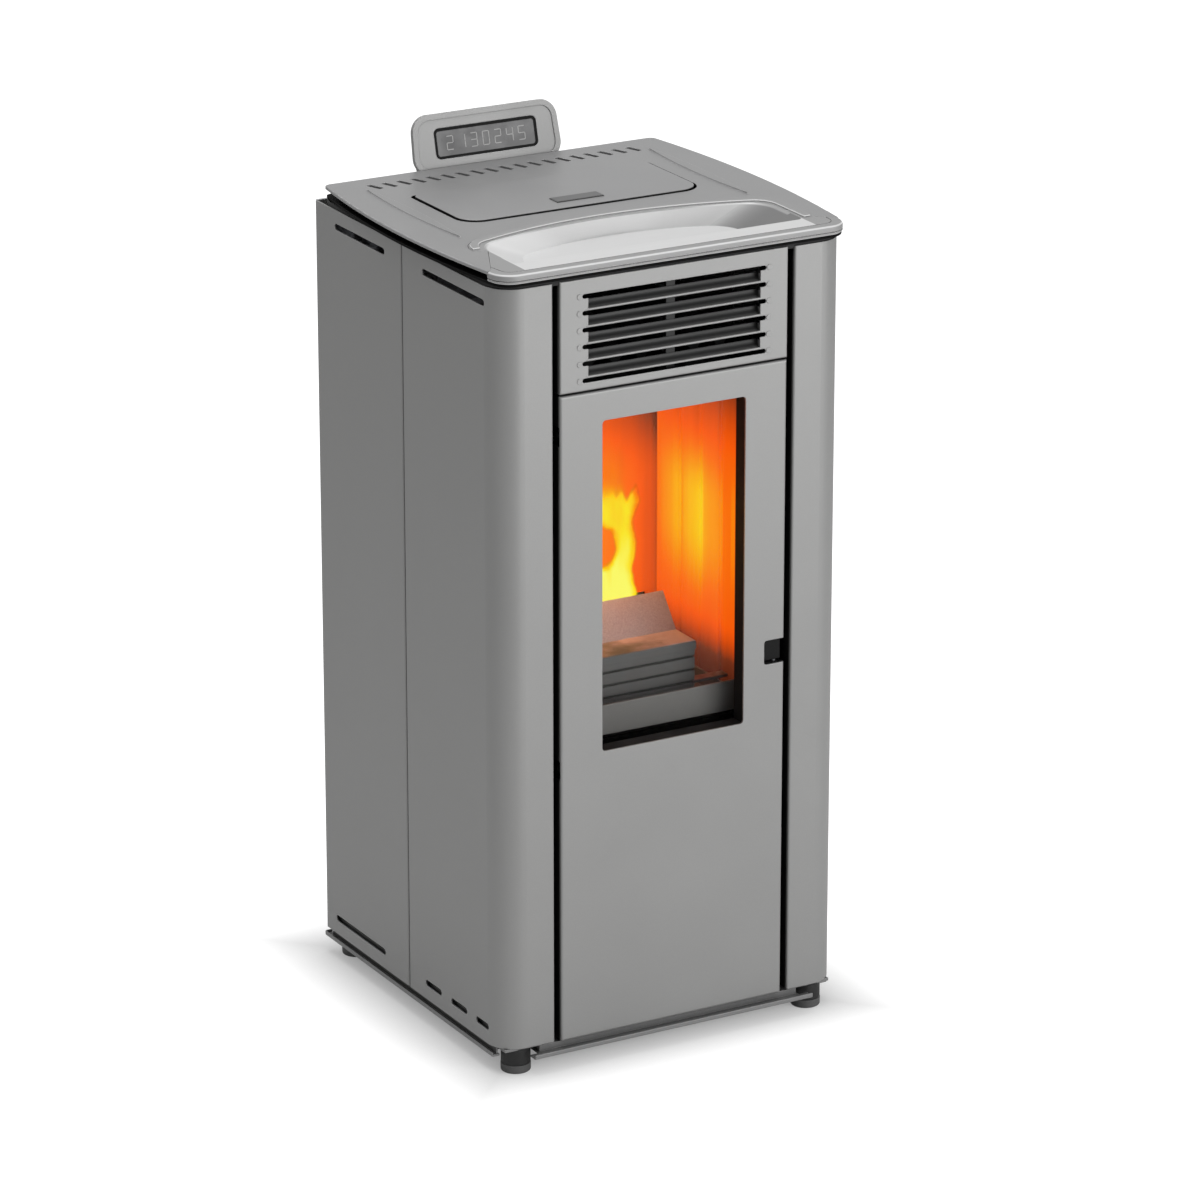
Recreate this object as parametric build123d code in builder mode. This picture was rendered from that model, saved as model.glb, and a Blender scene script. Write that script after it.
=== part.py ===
"""Pellet stove: a sheet-metal casing round a firebox, hopper, feed screw, fans and control panel.

Millimetres, +Z up. X is the width and Y the depth: the front looks toward -Y. The origin is on the
floor, under the middle of the stove. Depths are given as distances behind the front face, which
behind() turns into Y.
"""
import os
from math import atan2, cos, radians, sin, tan

from build123d import *

os.makedirs("parts", exist_ok=True)

# ---------------------------------------------------------------- driving dimensions
FRONT_Y = -209.0  # plane of the door and the front columns

SHEET = 1.5  # casing sheet
CASE_HALF = 199.0  # half the width of the casing
CASE_BACK = 388.0  # depth of the side panels
CASE_BOTTOM = 30.0
CASE_TOP = 829.0
CORNER_R = 30.0  # round front corners of the casing
COLUMN_EDGE = 137.5  # inner edge of the front columns
COLUMN_FOLD = 34.0  # depth of the columns' inner folds
SEAM_DEPTH = 200.0  # where the front and rear side panels meet
SEAM_GAP = 2.0

BASE_Z = 18.0  # underside of the base tray
BASE_TOP = 20.0
BASE_FRONT = -8.0
BASE_REAR = 394.0
SILL_Z = 26.5  # top of the step under the door
FOOT_X = 172.0
FOOT_DEPTHS = (20.0, 372.0)
FOOT_R = 15.5
PAD_HEIGHT = 9.0

FRAME_Z = 833.0  # lower top frame
FRAME_TOP = 836.0
PLATE_Z = 843.0  # top plate and tray
PLATE_TOP = 846.0
TOP_FRONT = -6.0

DOOR_HALF = 129.7
DOOR_BOTTOM = 28.0
DOOR_TOP = 713.0
DOOR_DEPTH = 16.0
DOOR_SHEET = 2.0
DOOR_EDGE_R = 2.5
WINDOW_HALF = 82.2
WINDOW_BOTTOM = 334.0
WINDOW_TOP = 681.7

HINGE_X = -124.0
HINGE_DEPTH = 8.0
HINGE_PIN_R = 2.5
HINGE_HEIGHTS = (320.0, 670.0)
RUNNING_GAP = 0.05  # radial clearance of a turning fit
SLACK = 0.3  # clearance round a pipe in its hole

GRILLE_BOTTOM = 715.0
GRILLE_TOP = 830.0
SLOT_PITCH = 17.2
SLOT_COUNT = 6
SLOT_HEIGHT = 4.8
SLOT_HALF = 104.6
TOP_SLOT_Z = 811.7

BULKHEAD_DEPTH = 34.0
BULKHEAD_TOP = 703.0
FIREBOX_HALF = 120.0
FIREBOX_WALL = 3.0
FIREBOX_BACK = 236.0
FIREBOX_FLOOR = 300.0
FIREBOX_TOP = 706.0

POT_HALF = 40.0
POT_FRONT = 132.0
POT_BACK = 196.0
POT_FLANGE_Z = 409.0

AUGER_Z = 480.0
AUGER_TUBE_R = 25.0
AUGER_FLIGHT_R = 21.5
AUGER_SHAFT_R = 7.0
AUGER_PITCH = 38.0

FAN_X = 72.0  # smoke fan axis
FAN_Z = 185.0
FLUE_Z = 225.0
FLUE_R = 40.0
INTAKE_X = -34.0
INTAKE_Z = 382.0
INTAKE_R = 19.0
IGNITER_X = 12.0
IGNITER_Z = 385.0
IGNITER_R = 5.0

ROTOR_DEPTH = 110.0  # convection rotor axis
ROTOR_Z = 112.0
ROTOR_R = 30.0
ROTOR_HALF = 80.0

LID_HALF = 135.5
LID_FRONT = 179.5
LID_BACK = 295.5
LID_FRONT_R = 22.0
LID_BACK_R = 8.0
LID_GAP = 3.0  # gap all round the lid
LID_TOP = 847.5  # the lid stands a little proud of the top plate
LID_AXIS_DEPTH = 290.0
LID_AXIS_Z = 841.5
LID_PIN_R = 1.4

PANEL_LEAN = 14.0  # degrees that the control panel leans back
PANEL_DEPTH = 381.0  # where its face meets the level of the top plate
PANEL_HALF = 85.0
PANEL_HEIGHT = 61.0  # along the leaning face
PANEL_THICKNESS = 18.0
PANEL_INSET = 10.0  # how far the deep part of its housing stands in from the edge


# ---------------------------------------------------------------- helpers
def behind(distance):
    """Y of the plane this far behind the front face."""
    return FRONT_Y + distance


def block(x, depth, z, mode=Mode.ADD):
    """Add, or cut away, the block between pairs of limits in X, in depth and in Z."""
    middle = ((x[0] + x[1]) / 2, behind((depth[0] + depth[1]) / 2), (z[0] + z[1]) / 2)
    with Locations(middle):
        Box(x[1] - x[0], depth[1] - depth[0], z[1] - z[0], mode=mode)


def ring_block(outer, inner, depth):
    """Add a flat ring facing the front: outer and inner are (half width, bottom, top)."""
    block((-outer[0], outer[0]), depth, (outer[1], outer[2]))
    block((-inner[0], inner[0]), depth, (inner[1], inner[2]), mode=Mode.SUBTRACT)


def rod(x, z, radius, depth, mode=Mode.ADD):
    """Add, or cut away, a round bar that runs front to back."""
    middle = behind((depth[0] + depth[1]) / 2)
    with Locations(Location((x, middle, z), (90, 0, 0))):
        Cylinder(radius, depth[1] - depth[0], mode=mode)


def cross_rod(depth, z, radius, x, mode=Mode.ADD):
    """Add, or cut away, a round bar that runs left to right."""
    with Locations(Location(((x[0] + x[1]) / 2, behind(depth), z), (0, 90, 0))):
        Cylinder(radius, x[1] - x[0], mode=mode)


def post(x, depth, radius, z, mode=Mode.ADD):
    """Add, or cut away, an upright round bar."""
    with Locations((x, behind(depth), (z[0] + z[1]) / 2)):
        Cylinder(radius, z[1] - z[0], mode=mode)


def keep(builder, name):
    """Name a finished piece and write it to its own file."""
    builder.part.label = name
    export_step(builder.part, f"parts/{name}.step")


def keep_mirrored(left, name):
    """Write the right-hand twin of a left-hand piece."""
    with BuildPart() as right:
        mirror(left.part, about=Plane.YZ)
    keep(right, name)


# ---------------------------------------------------------------- base tray and feet
POCKET_IN = 154.0  # the feet stand in pockets cut out of the tray
POCKET_OUT = 190.0
POCKET_DEPTH = 36.0
LIP_REACH = 164.0  # the front lip runs on past the pockets, in front of the feet
LIP_BACK = 3.0
NOSE_DEPTH = 21.0  # where the side lips begin
TRAY_WALL_X = 193.0
TRAY_WALL_TOP = 45.0
LIP_HEIGHT = 3.0
GUSSET_Z = 26.5

base_middle = behind((BASE_FRONT + BASE_REAR) / 2)
base_length = BASE_REAR - BASE_FRONT
with BuildPart() as base_tray:
    with BuildSketch(Plane(origin=(0, base_middle, BASE_Z))):
        RectangleRounded(2 * CASE_HALF, base_length, 3)
    extrude(amount=BASE_TOP - BASE_Z)
    fillet(base_tray.edges().group_by(Axis.Z)[0], 1.5)
    with BuildSketch(Plane(origin=(0, base_middle, BASE_TOP))):
        RectangleRounded(2 * CASE_HALF, base_length, 3)
        RectangleRounded(2 * (CASE_HALF - SHEET), base_length - 2 * SHEET, 1.5, mode=Mode.SUBTRACT)
    extrude(amount=LIP_HEIGHT)
    fillet(base_tray.edges().group_by(Axis.Z)[-1], 0.6)
    for side in (-1, 1):
        pocket_z = (BASE_Z - 1, BASE_TOP + LIP_HEIGHT + 1)
        for inner_x, low, high in (
            (LIP_REACH, BASE_FRONT - 1, LIP_BACK),
            (POCKET_IN, LIP_BACK, POCKET_DEPTH),
            (POCKET_IN, BASE_REAR - 38, BASE_REAR + 1),
        ):
            edges_x = sorted((side * inner_x, side * POCKET_OUT))
            block(edges_x, (low, high), pocket_z, mode=Mode.SUBTRACT)
        nose_x = sorted((side * POCKET_OUT, side * (CASE_HALF + 1)))
        block(nose_x, (BASE_FRONT - 1, NOSE_DEPTH), pocket_z, mode=Mode.SUBTRACT)
        wall_x = sorted((side * TRAY_WALL_X, side * (TRAY_WALL_X - SHEET)))
        block(wall_x, (NOSE_DEPTH + 1, 386), (BASE_TOP, CASE_BOTTOM - 1))
        block(wall_x, (24, SEAM_DEPTH - 4), (CASE_BOTTOM - 1, TRAY_WALL_TOP))
        block(wall_x, (SEAM_DEPTH + 4, 386), (CASE_BOTTOM - 1, TRAY_WALL_TOP))
        for foot_depth in FOOT_DEPTHS:
            gusset_x = sorted((side * (POCKET_IN - 6), side * (TRAY_WALL_X - SHEET)))
            block(gusset_x, (foot_depth - 14, foot_depth + 14), (GUSSET_Z, GUSSET_Z + 3))
            post(side * FOOT_X, foot_depth, 4.0, (GUSSET_Z - 1, GUSSET_Z + 4), mode=Mode.SUBTRACT)
    sill_half = POCKET_IN - 2
    block((-sill_half, sill_half), (6, 6 + SHEET), (BASE_TOP, SILL_Z))
    block((-sill_half, sill_half), (6, POCKET_DEPTH + 2), (SILL_Z - SHEET, SILL_Z))
    block((-sill_half, sill_half), (384.5, 386), (BASE_TOP, TRAY_WALL_TOP))
    for side in (-1, 1):
        step_x = sorted((side * sill_half, side * (sill_half - SHEET)))
        block(step_x, (6, POCKET_DEPTH + 2), (BASE_TOP, SILL_Z))
        block(step_x, (356, 386), (BASE_TOP, GUSSET_Z + 3))
keep(base_tray, "base_tray")

foot_places = [(side * FOOT_X, behind(depth)) for side in (-1, 1) for depth in FOOT_DEPTHS]
with BuildPart() as foot_pads:
    with BuildSketch(Plane.XY):
        with Locations(*foot_places):
            Circle(FOOT_R)
    extrude(amount=PAD_HEIGHT)
    fillet(foot_pads.edges().group_by(Axis.Z)[0], 2.0)
    fillet(foot_pads.edges().group_by(Axis.Z)[-1], 0.6)
keep(foot_pads, "foot_pads")

with BuildPart() as foot_studs:
    with BuildSketch(Plane.XY.offset(PAD_HEIGHT)):
        with Locations(*foot_places):
            Circle(FOOT_R - 0.3)
    extrude(amount=GUSSET_Z - PAD_HEIGHT)
    fillet(foot_studs.edges().group_by(Axis.Z)[0], 1.0)
    with BuildSketch(Plane.XY.offset(GUSSET_Z)):
        with Locations(*foot_places):
            Circle(3.95)
    extrude(amount=20)
keep(foot_studs, "foot_studs")

with BuildPart() as foot_nuts:
    with BuildSketch(Plane.XY.offset(GUSSET_Z + 3)):
        with Locations(*foot_places):
            RegularPolygon(7.5, 6)
            Circle(4.0, mode=Mode.SUBTRACT)
    extrude(amount=6.5)
keep(foot_nuts, "foot_nuts")

# ---------------------------------------------------------------- chassis
POST_IN = 146.0
POST_OUT = 164.0
REAR_POST_IN = 156.0
REAR_POST_OUT = 172.0
with BuildPart() as chassis_posts:
    for side in (-1, 1):
        face_x = sorted((side * POST_IN, side * POST_OUT))
        leg_x = sorted((side * POST_OUT, side * (POST_OUT - 2)))
        block(face_x, (40, 42), (BASE_TOP, FRAME_Z))
        block(leg_x, (42, 60), (BASE_TOP, FRAME_Z))
        rear_x = sorted((side * REAR_POST_IN, side * REAR_POST_OUT))
        rear_leg_x = sorted((side * REAR_POST_OUT, side * (REAR_POST_OUT - 2)))
        block(rear_x, (352, 354), (BASE_TOP, FRAME_Z))
        block(rear_leg_x, (336, 352), (BASE_TOP, FRAME_Z))
keep(chassis_posts, "chassis_posts")

with BuildPart() as front_bulkhead:
    block((-POST_OUT, POST_OUT), (BULKHEAD_DEPTH, BULKHEAD_DEPTH + 2), (SILL_Z, BULKHEAD_TOP))
    block((-104, 104), (BULKHEAD_DEPTH - 1, BULKHEAD_DEPTH + 3), (WINDOW_BOTTOM, 695), mode=Mode.SUBTRACT)
    for side in (-1, 1):
        tab_x = sorted((side * POST_IN, side * POST_OUT))
        block(tab_x, (BULKHEAD_DEPTH + 2, 40), (60, 62))
        block(tab_x, (BULKHEAD_DEPTH + 2, 40), (690, 692))
        wing_x = sorted((side * 118, side * POST_OUT))
        block(wing_x, (BULKHEAD_DEPTH, BULKHEAD_DEPTH + 2), (BULKHEAD_TOP, 820))
keep(front_bulkhead, "front_bulkhead")

# ---------------------------------------------------------------- side panels and back
PANEL_FOLD = 14.0
SIDE_SLOT = 7.0
TOP_SIDE_SLOT_Z = 811.7
LOW_SIDE_SLOT_Z = 48.3


def cut_side_slots(panel_slots, z):
    """Cut round-ended slots, given as pairs of depths, through the left side of a panel."""
    for start, end in panel_slots:
        middle = behind((start + end) / 2)
        with Locations(Location((-CASE_HALF, middle, z), (0, 90, 0))):
            with Locations(Location((0, 0, 0), (0, 0, 90))):
                Box(end - start - SIDE_SLOT, SIDE_SLOT, 3 * SHEET, mode=Mode.SUBTRACT)
        for end_y in (behind(start) + SIDE_SLOT / 2, behind(end) - SIDE_SLOT / 2):
            with Locations(Location((-CASE_HALF, end_y, z), (0, 90, 0))):
                Cylinder(SIDE_SLOT / 2, 3 * SHEET, mode=Mode.SUBTRACT)


seam_front = behind(SEAM_DEPTH - SEAM_GAP / 2)
with BuildPart() as side_panel_front_left:
    with BuildSketch(Plane.XY.offset(CASE_BOTTOM)):
        with BuildLine():
            FilletPolyline(
                (-CASE_HALF + PANEL_FOLD, seam_front),
                (-CASE_HALF, seam_front),
                (-CASE_HALF, behind(0)),
                (-COLUMN_EDGE, behind(0)),
                (-COLUMN_EDGE, behind(COLUMN_FOLD)),
                radius=[2.0, CORNER_R, 2.0],
            )
            offset(amount=SHEET, side=Side.LEFT)
        make_face()
    extrude(amount=CASE_TOP - CASE_BOTTOM)
    cut_side_slots([(27, 156)], TOP_SIDE_SLOT_Z)
    cut_side_slots([(27.2, 53.8), (73.1, 107.7), (128.3, 163.4)], LOW_SIDE_SLOT_Z)
keep(side_panel_front_left, "side_panel_front_left")
keep_mirrored(side_panel_front_left, "side_panel_front_right")

seam_rear = behind(SEAM_DEPTH + SEAM_GAP / 2)
with BuildPart() as side_panel_rear_left:
    with BuildSketch(Plane.XY.offset(CASE_BOTTOM)):
        with BuildLine():
            FilletPolyline(
                (-CASE_HALF + PANEL_FOLD, seam_rear),
                (-CASE_HALF, seam_rear),
                (-CASE_HALF, behind(CASE_BACK)),
                (-CASE_HALF + PANEL_FOLD, behind(CASE_BACK)),
                radius=[2.0, 2.0],
            )
            offset(amount=SHEET, side=Side.RIGHT)
        make_face()
    extrude(amount=CASE_TOP - CASE_BOTTOM)
    cut_side_slots([(236, 345)], TOP_SIDE_SLOT_Z)
    cut_side_slots([(252.5, 365)], LOW_SIDE_SLOT_Z)
keep(side_panel_rear_left, "side_panel_rear_left")
keep_mirrored(side_panel_rear_left, "side_panel_rear_right")

REAR_SHEET = 2.0
REAR_HALF = 197.0
REAR_SCREWS_Z = (50.0, 200.0, 430.0, 640.0, 810.0)
INLET_X = -140.0
INLET_Z = 90.0
rear_face = CASE_BACK + REAR_SHEET
with BuildPart() as rear_panel:
    block((-REAR_HALF, REAR_HALF), (CASE_BACK, rear_face), (CASE_BOTTOM, CASE_TOP))
    through = (CASE_BACK - 1, rear_face + 1)
    rod(0, FLUE_Z, FLUE_R + 2, through, mode=Mode.SUBTRACT)
    rod(INTAKE_X, INTAKE_Z, INTAKE_R + 1, through, mode=Mode.SUBTRACT)
    block((INLET_X - 15, INLET_X + 15), through, (INLET_Z - 24, INLET_Z + 24), mode=Mode.SUBTRACT)
    for row in range(8):
        slot_z = 60 + 12 * row
        block((40, 150), through, (slot_z, slot_z + 5), mode=Mode.SUBTRACT)
        block((-90, -50), through, (slot_z, slot_z + 5), mode=Mode.SUBTRACT)
    for screw_z in REAR_SCREWS_Z:
        for side in (-1, 1):
            rod(side * (REAR_HALF - 6), screw_z, 2.0, through, mode=Mode.SUBTRACT)
keep(rear_panel, "rear_panel")

with BuildPart() as rear_panel_screws:
    for screw_z in REAR_SCREWS_Z:
        for side in (-1, 1):
            rod(side * (REAR_HALF - 6), screw_z, 1.9, (CASE_BACK, rear_face))
            rod(side * (REAR_HALF - 6), screw_z, 4.0, (rear_face, rear_face + 2.2))
keep(rear_panel_screws, "rear_panel_screws")

# ---------------------------------------------------------------- top: frame, plate, tray
TOP_BACK = 380.0
BACK_HALF = 193.0
BOW_HALF = 209.0
BOW_DEPTH = 200.0
FRONT_HALF = 196.0
TOP_CORNER_R = 22.0
BACK_CORNER_R = 8.0
SLIT_START = (195.0, 19.0)  # the tray's joint with the plate, from the side edge inward
SLIT_END = (163.0, 84.0)
BEAD_HALF = 177.0  # outer edge of the bead round the tray
BEAD_START = 34.0  # where the bead begins on the right and on the left
BEAD_LEFT_START = 91.0
ARCH_END = 114.7  # the bead's arch: depth at its ends and at its middle
ARCH_MIDDLE = 147.0
ARCH_CORNER_R = 34.0
TRAY_JOINT = 0.6  # gap between the tray and the top plate
NECK_HALF = 122.0
NECK_FRONT = 188.0
NECK_BACK = 282.0


def top_outline(front, inset=0.0):
    """Draw the bowed outline of the top as one closed wire, moved inward by inset."""
    back_y = behind(TOP_BACK - inset)
    front_y = behind(front + inset)
    half_back = BACK_HALF - inset
    half_front = FRONT_HALF - inset
    bow = BOW_HALF - inset
    Line((-half_back, back_y), (half_back, back_y))
    ThreePointArc((half_back, back_y), (bow, behind(BOW_DEPTH)), (half_front, front_y))
    Line((half_front, front_y), (-half_front, front_y))
    ThreePointArc((-half_front, front_y), (-bow, behind(BOW_DEPTH)), (-half_back, back_y))


def joint_outline(grow):
    """Draw the tray's boundary with the top plate, moved outward by grow, as one closed wire."""
    reach = BOW_HALF + 20
    slit_y = behind(SLIT_START[1] + grow)
    arch_left = (-BEAD_HALF - grow, behind(ARCH_END + grow))
    arch_right = (BEAD_HALF + grow, behind(ARCH_END + grow))
    Polyline(
        (-reach, slit_y),
        (-SLIT_START[0], slit_y),
        (-SLIT_END[0] - 1.4 * grow, behind(SLIT_END[1] - 0.6 * grow)),
        (-BEAD_HALF - grow, behind(SLIT_END[1] + 4 - 0.75 * grow)),
        arch_left,
    )
    ThreePointArc(arch_left, (0, behind(ARCH_MIDDLE + grow)), arch_right)
    Polyline(
        arch_right,
        (BEAD_HALF + grow, behind(BEAD_START + grow)),
        (SLIT_START[0], slit_y),
        (reach, slit_y),
        (reach, behind(-40)),
        (-reach, behind(-40)),
        (-reach, slit_y),
    )


def arch_corners(sketch):
    """The two corners where the arch meets the straight sides of the joint."""
    return sketch.vertices().filter_by_position(Axis.Y, behind(ARCH_END - 12), behind(ARCH_END + 2))


with BuildPart() as tray_zone:
    with BuildSketch(Plane.XY.offset(FRAME_TOP)) as joint_inside:
        with BuildLine():
            joint_outline(0)
        make_face()
        fillet(arch_corners(joint_inside), ARCH_CORNER_R)
    extrude(amount=20)

with BuildPart() as plate_cut:
    with BuildSketch(Plane.XY.offset(FRAME_TOP)) as joint_outside:
        with BuildLine():
            joint_outline(TRAY_JOINT)
        make_face()
        fillet(arch_corners(joint_outside), ARCH_CORNER_R + TRAY_JOINT)
    extrude(amount=20)

with BuildPart() as lower_top_frame:
    with BuildSketch(Plane.XY.offset(FRAME_Z)) as frame_outline:
        with BuildLine():
            top_outline(TOP_FRONT, inset=1.0)
        make_face()
        fillet(frame_outline.vertices().group_by(Axis.Y)[0], TOP_CORNER_R - 1)
        fillet(frame_outline.vertices().group_by(Axis.Y)[-1], BACK_CORNER_R)
    extrude(amount=FRAME_TOP - FRAME_Z)
    fillet(lower_top_frame.edges().group_by(Axis.Z)[0], 1.2)
    with BuildSketch(Plane.XY.offset(FRAME_TOP)):
        with BuildLine():
            top_outline(8, inset=12)
        make_face()
        offset(amount=-SHEET, mode=Mode.SUBTRACT)
    extrude(amount=PLATE_Z - FRAME_TOP)
    through_frame = (FRAME_Z - 1, FRAME_TOP + 1)
    block((-172, 172), (26, 150), through_frame, mode=Mode.SUBTRACT)
    neck_width = (-NECK_HALF + 2, NECK_HALF - 2)
    block(neck_width, (NECK_FRONT + 2, NECK_BACK - 2), through_frame, mode=Mode.SUBTRACT)
    block((-160, 160), (336, 360), through_frame, mode=Mode.SUBTRACT)
    for x_limits in ((-NECK_HALF, -NECK_HALF + 2), (NECK_HALF - 2, NECK_HALF)):
        block(x_limits, (NECK_FRONT, NECK_BACK), (FRAME_TOP, FRAME_TOP + 3))
    for depth_limits in ((NECK_FRONT, NECK_FRONT + 2), (NECK_BACK - 2, NECK_BACK)):
        block((-NECK_HALF, NECK_HALF), depth_limits, (FRAME_TOP, FRAME_TOP + 3))
    for side in (-1, 1):
        ear_x = sorted((side * 139, side * 144))
        block(ear_x, (LID_AXIS_DEPTH - 5, LID_AXIS_DEPTH + 5), (FRAME_TOP, PLATE_Z))
        cross_rod(LID_AXIS_DEPTH, LID_AXIS_Z, LID_PIN_R + RUNNING_GAP, ear_x, mode=Mode.SUBTRACT)
keep(lower_top_frame, "lower_top_frame")

TOP_SLOTS = 19
TOP_SLOT_PITCH = 16.8
TOP_SLOT_DEPTH = 347.0
TOP_SLOT_ANGLE = 110.0  # the slots lean, front ends to the right
TOP_SLOT_LENGTH = 19.0
TOP_SLOT_WIDTH = 6.5
RIB_X = 165.0
RIB_MIDDLE = 238.0
RIB_HALF_LENGTH = 102.0
RIB_HALF_WIDTH = 6.5
RIB_HEIGHT = 1.6
RIB_SLOPE = 1.0


def round_corners(sketch, front_r, back_r):
    """Round a sketch's front corners and its back corners."""
    fillet(sketch.vertices().group_by(Axis.Y)[0], front_r)
    fillet(sketch.vertices().group_by(Axis.Y)[-1], back_r)


with BuildPart() as top_plate:
    with BuildSketch(Plane.XY.offset(PLATE_Z)) as plate_outline:
        with BuildLine():
            top_outline(TOP_FRONT)
        make_face()
        fillet(plate_outline.vertices().group_by(Axis.Y)[0], TOP_CORNER_R)
        fillet(plate_outline.vertices().group_by(Axis.Y)[-1], BACK_CORNER_R)
    extrude(amount=PLATE_TOP - PLATE_Z)
    fillet(top_plate.edges().group_by(Axis.Z)[-1], 1.2)
    add(plate_cut.part, mode=Mode.SUBTRACT)
    with BuildSketch(Plane.XY.offset(PLATE_Z)) as lid_opening:
        with Locations((0, behind((LID_FRONT + LID_BACK) / 2))):
            Rectangle(2 * (LID_HALF + LID_GAP), LID_BACK - LID_FRONT + 2 * LID_GAP)
        round_corners(lid_opening, LID_FRONT_R + LID_GAP, LID_BACK_R)
    extrude(amount=PLATE_TOP - PLATE_Z, mode=Mode.SUBTRACT)
    with BuildSketch(Plane.XY.offset(PLATE_Z)):
        with Locations((0, behind(TOP_SLOT_DEPTH))):
            with GridLocations(TOP_SLOT_PITCH, 1, TOP_SLOTS, 1):
                RectangleRounded(TOP_SLOT_LENGTH, TOP_SLOT_WIDTH, 1.2, rotation=TOP_SLOT_ANGLE)
    extrude(amount=PLATE_TOP - PLATE_Z, mode=Mode.SUBTRACT)
    for rib_x in (-RIB_X, RIB_X):
        for level, slope in ((PLATE_TOP, 0), (PLATE_TOP + RIB_HEIGHT, RIB_SLOPE)):
            with BuildSketch(Plane.XY.offset(level)):
                with BuildLine():
                    rib_front = (rib_x, behind(RIB_MIDDLE - RIB_HALF_LENGTH + 3 * slope))
                    rib_back = (rib_x, behind(RIB_MIDDLE + RIB_HALF_LENGTH - 3 * slope))
                    rib_half = RIB_HALF_WIDTH - slope
                    ThreePointArc(rib_front, (rib_x - rib_half, behind(RIB_MIDDLE)), rib_back)
                    ThreePointArc(rib_front, (rib_x + rib_half, behind(RIB_MIDDLE)), rib_back)
                make_face()
        loft()
keep(top_plate, "top_plate")

DISH_FRONT = 30.0
DISH_HALF = 165.0
DISH_ARCH_END = 104.0
DISH_ARCH_MIDDLE = 133.0
DISH_CORNER_R = 32.0
DISH_DEPTH = 18.0
DISH_END_SLOPE = 43.0  # how far the sloping ends run in
DISH_SIDE_SLOPE = 4.0
DISH_SHEET = 1.5
RIM_WIDTH = 4.0
RIM_R = 3.0
GROOVE_WIDTH = 1.2  # the fine grooves round the tray's rim
GROOVE_DEPTH = 0.8
FACE_GROOVE_Z = 838.6
TOP_GROOVE_INSET = 10.0
BEAD_WIDTH = 8.0
BEAD_HEIGHT = 2.0


def dish_outline(half, shrink):
    """Draw the tray's hollow: straight front, straight ends and an arched back, moved in by shrink."""
    front_y = behind(DISH_FRONT + shrink)
    end_y = behind(DISH_ARCH_END - shrink)
    Line((-half, front_y), (half, front_y))
    Line((half, front_y), (half, end_y))
    ThreePointArc((half, end_y), (0, behind(DISH_ARCH_MIDDLE - shrink)), (-half, end_y))
    Line((-half, end_y), (-half, front_y))


with BuildPart() as dish_outer:
    dish_floor = (DISH_HALF - DISH_END_SLOPE + DISH_SHEET, DISH_SIDE_SLOPE - DISH_SHEET)
    for wall_z, half, shrink in (
        (PLATE_Z, DISH_HALF + DISH_SHEET, -DISH_SHEET),
        (PLATE_TOP - DISH_DEPTH - DISH_SHEET, *dish_floor),
    ):
        with BuildSketch(Plane.XY.offset(wall_z)) as dish_wall:
            with BuildLine():
                dish_outline(half, shrink)
            make_face()
            fillet(dish_wall.vertices().group_by(Axis.Y)[0], 6)
            fillet(dish_wall.vertices().filter_by_position(Axis.Y, behind(92), behind(112)), DISH_CORNER_R)
    loft()

with BuildPart() as dish_hollow:
    for wall_z, half, shrink in (
        (PLATE_TOP + 0.01, DISH_HALF, 0),
        (PLATE_TOP - DISH_DEPTH, DISH_HALF - DISH_END_SLOPE, DISH_SIDE_SLOPE),
    ):
        with BuildSketch(Plane.XY.offset(wall_z)) as dish_wall:
            with BuildLine():
                dish_outline(half, shrink)
            make_face()
            fillet(dish_wall.vertices().group_by(Axis.Y)[0], 6)
            fillet(dish_wall.vertices().filter_by_position(Axis.Y, behind(92), behind(112)), DISH_CORNER_R)
    loft()

with BuildPart() as tray_bead:
    for shrink, mode in ((1, Mode.ADD), (1 + BEAD_WIDTH, Mode.SUBTRACT)):
        with BuildSketch(Plane.XY.offset(PLATE_TOP)) as bead_edge:
            with BuildLine():
                side_x = BEAD_HALF - shrink
                arch_left = (-side_x, behind(ARCH_END - shrink))
                arch_right = (side_x, behind(ARCH_END - shrink))
                Polyline(arch_right, (side_x, behind(0)), (-side_x, behind(0)), arch_left)
                ThreePointArc(arch_left, (0, behind(ARCH_MIDDLE - shrink)), arch_right)
            make_face()
            fillet(arch_corners(bead_edge), ARCH_CORNER_R - shrink)
        extrude(amount=BEAD_HEIGHT, mode=mode)
    bead_z = (PLATE_TOP - 1, PLATE_TOP + BEAD_HEIGHT + 1)
    block((-300, 0), (-100, BEAD_LEFT_START), bead_z, mode=Mode.SUBTRACT)
    block((0, 300), (-100, BEAD_START), bead_z, mode=Mode.SUBTRACT)
    fillet(tray_bead.edges().group_by(Axis.Z)[-1], BEAD_HEIGHT - 0.4)

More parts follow.
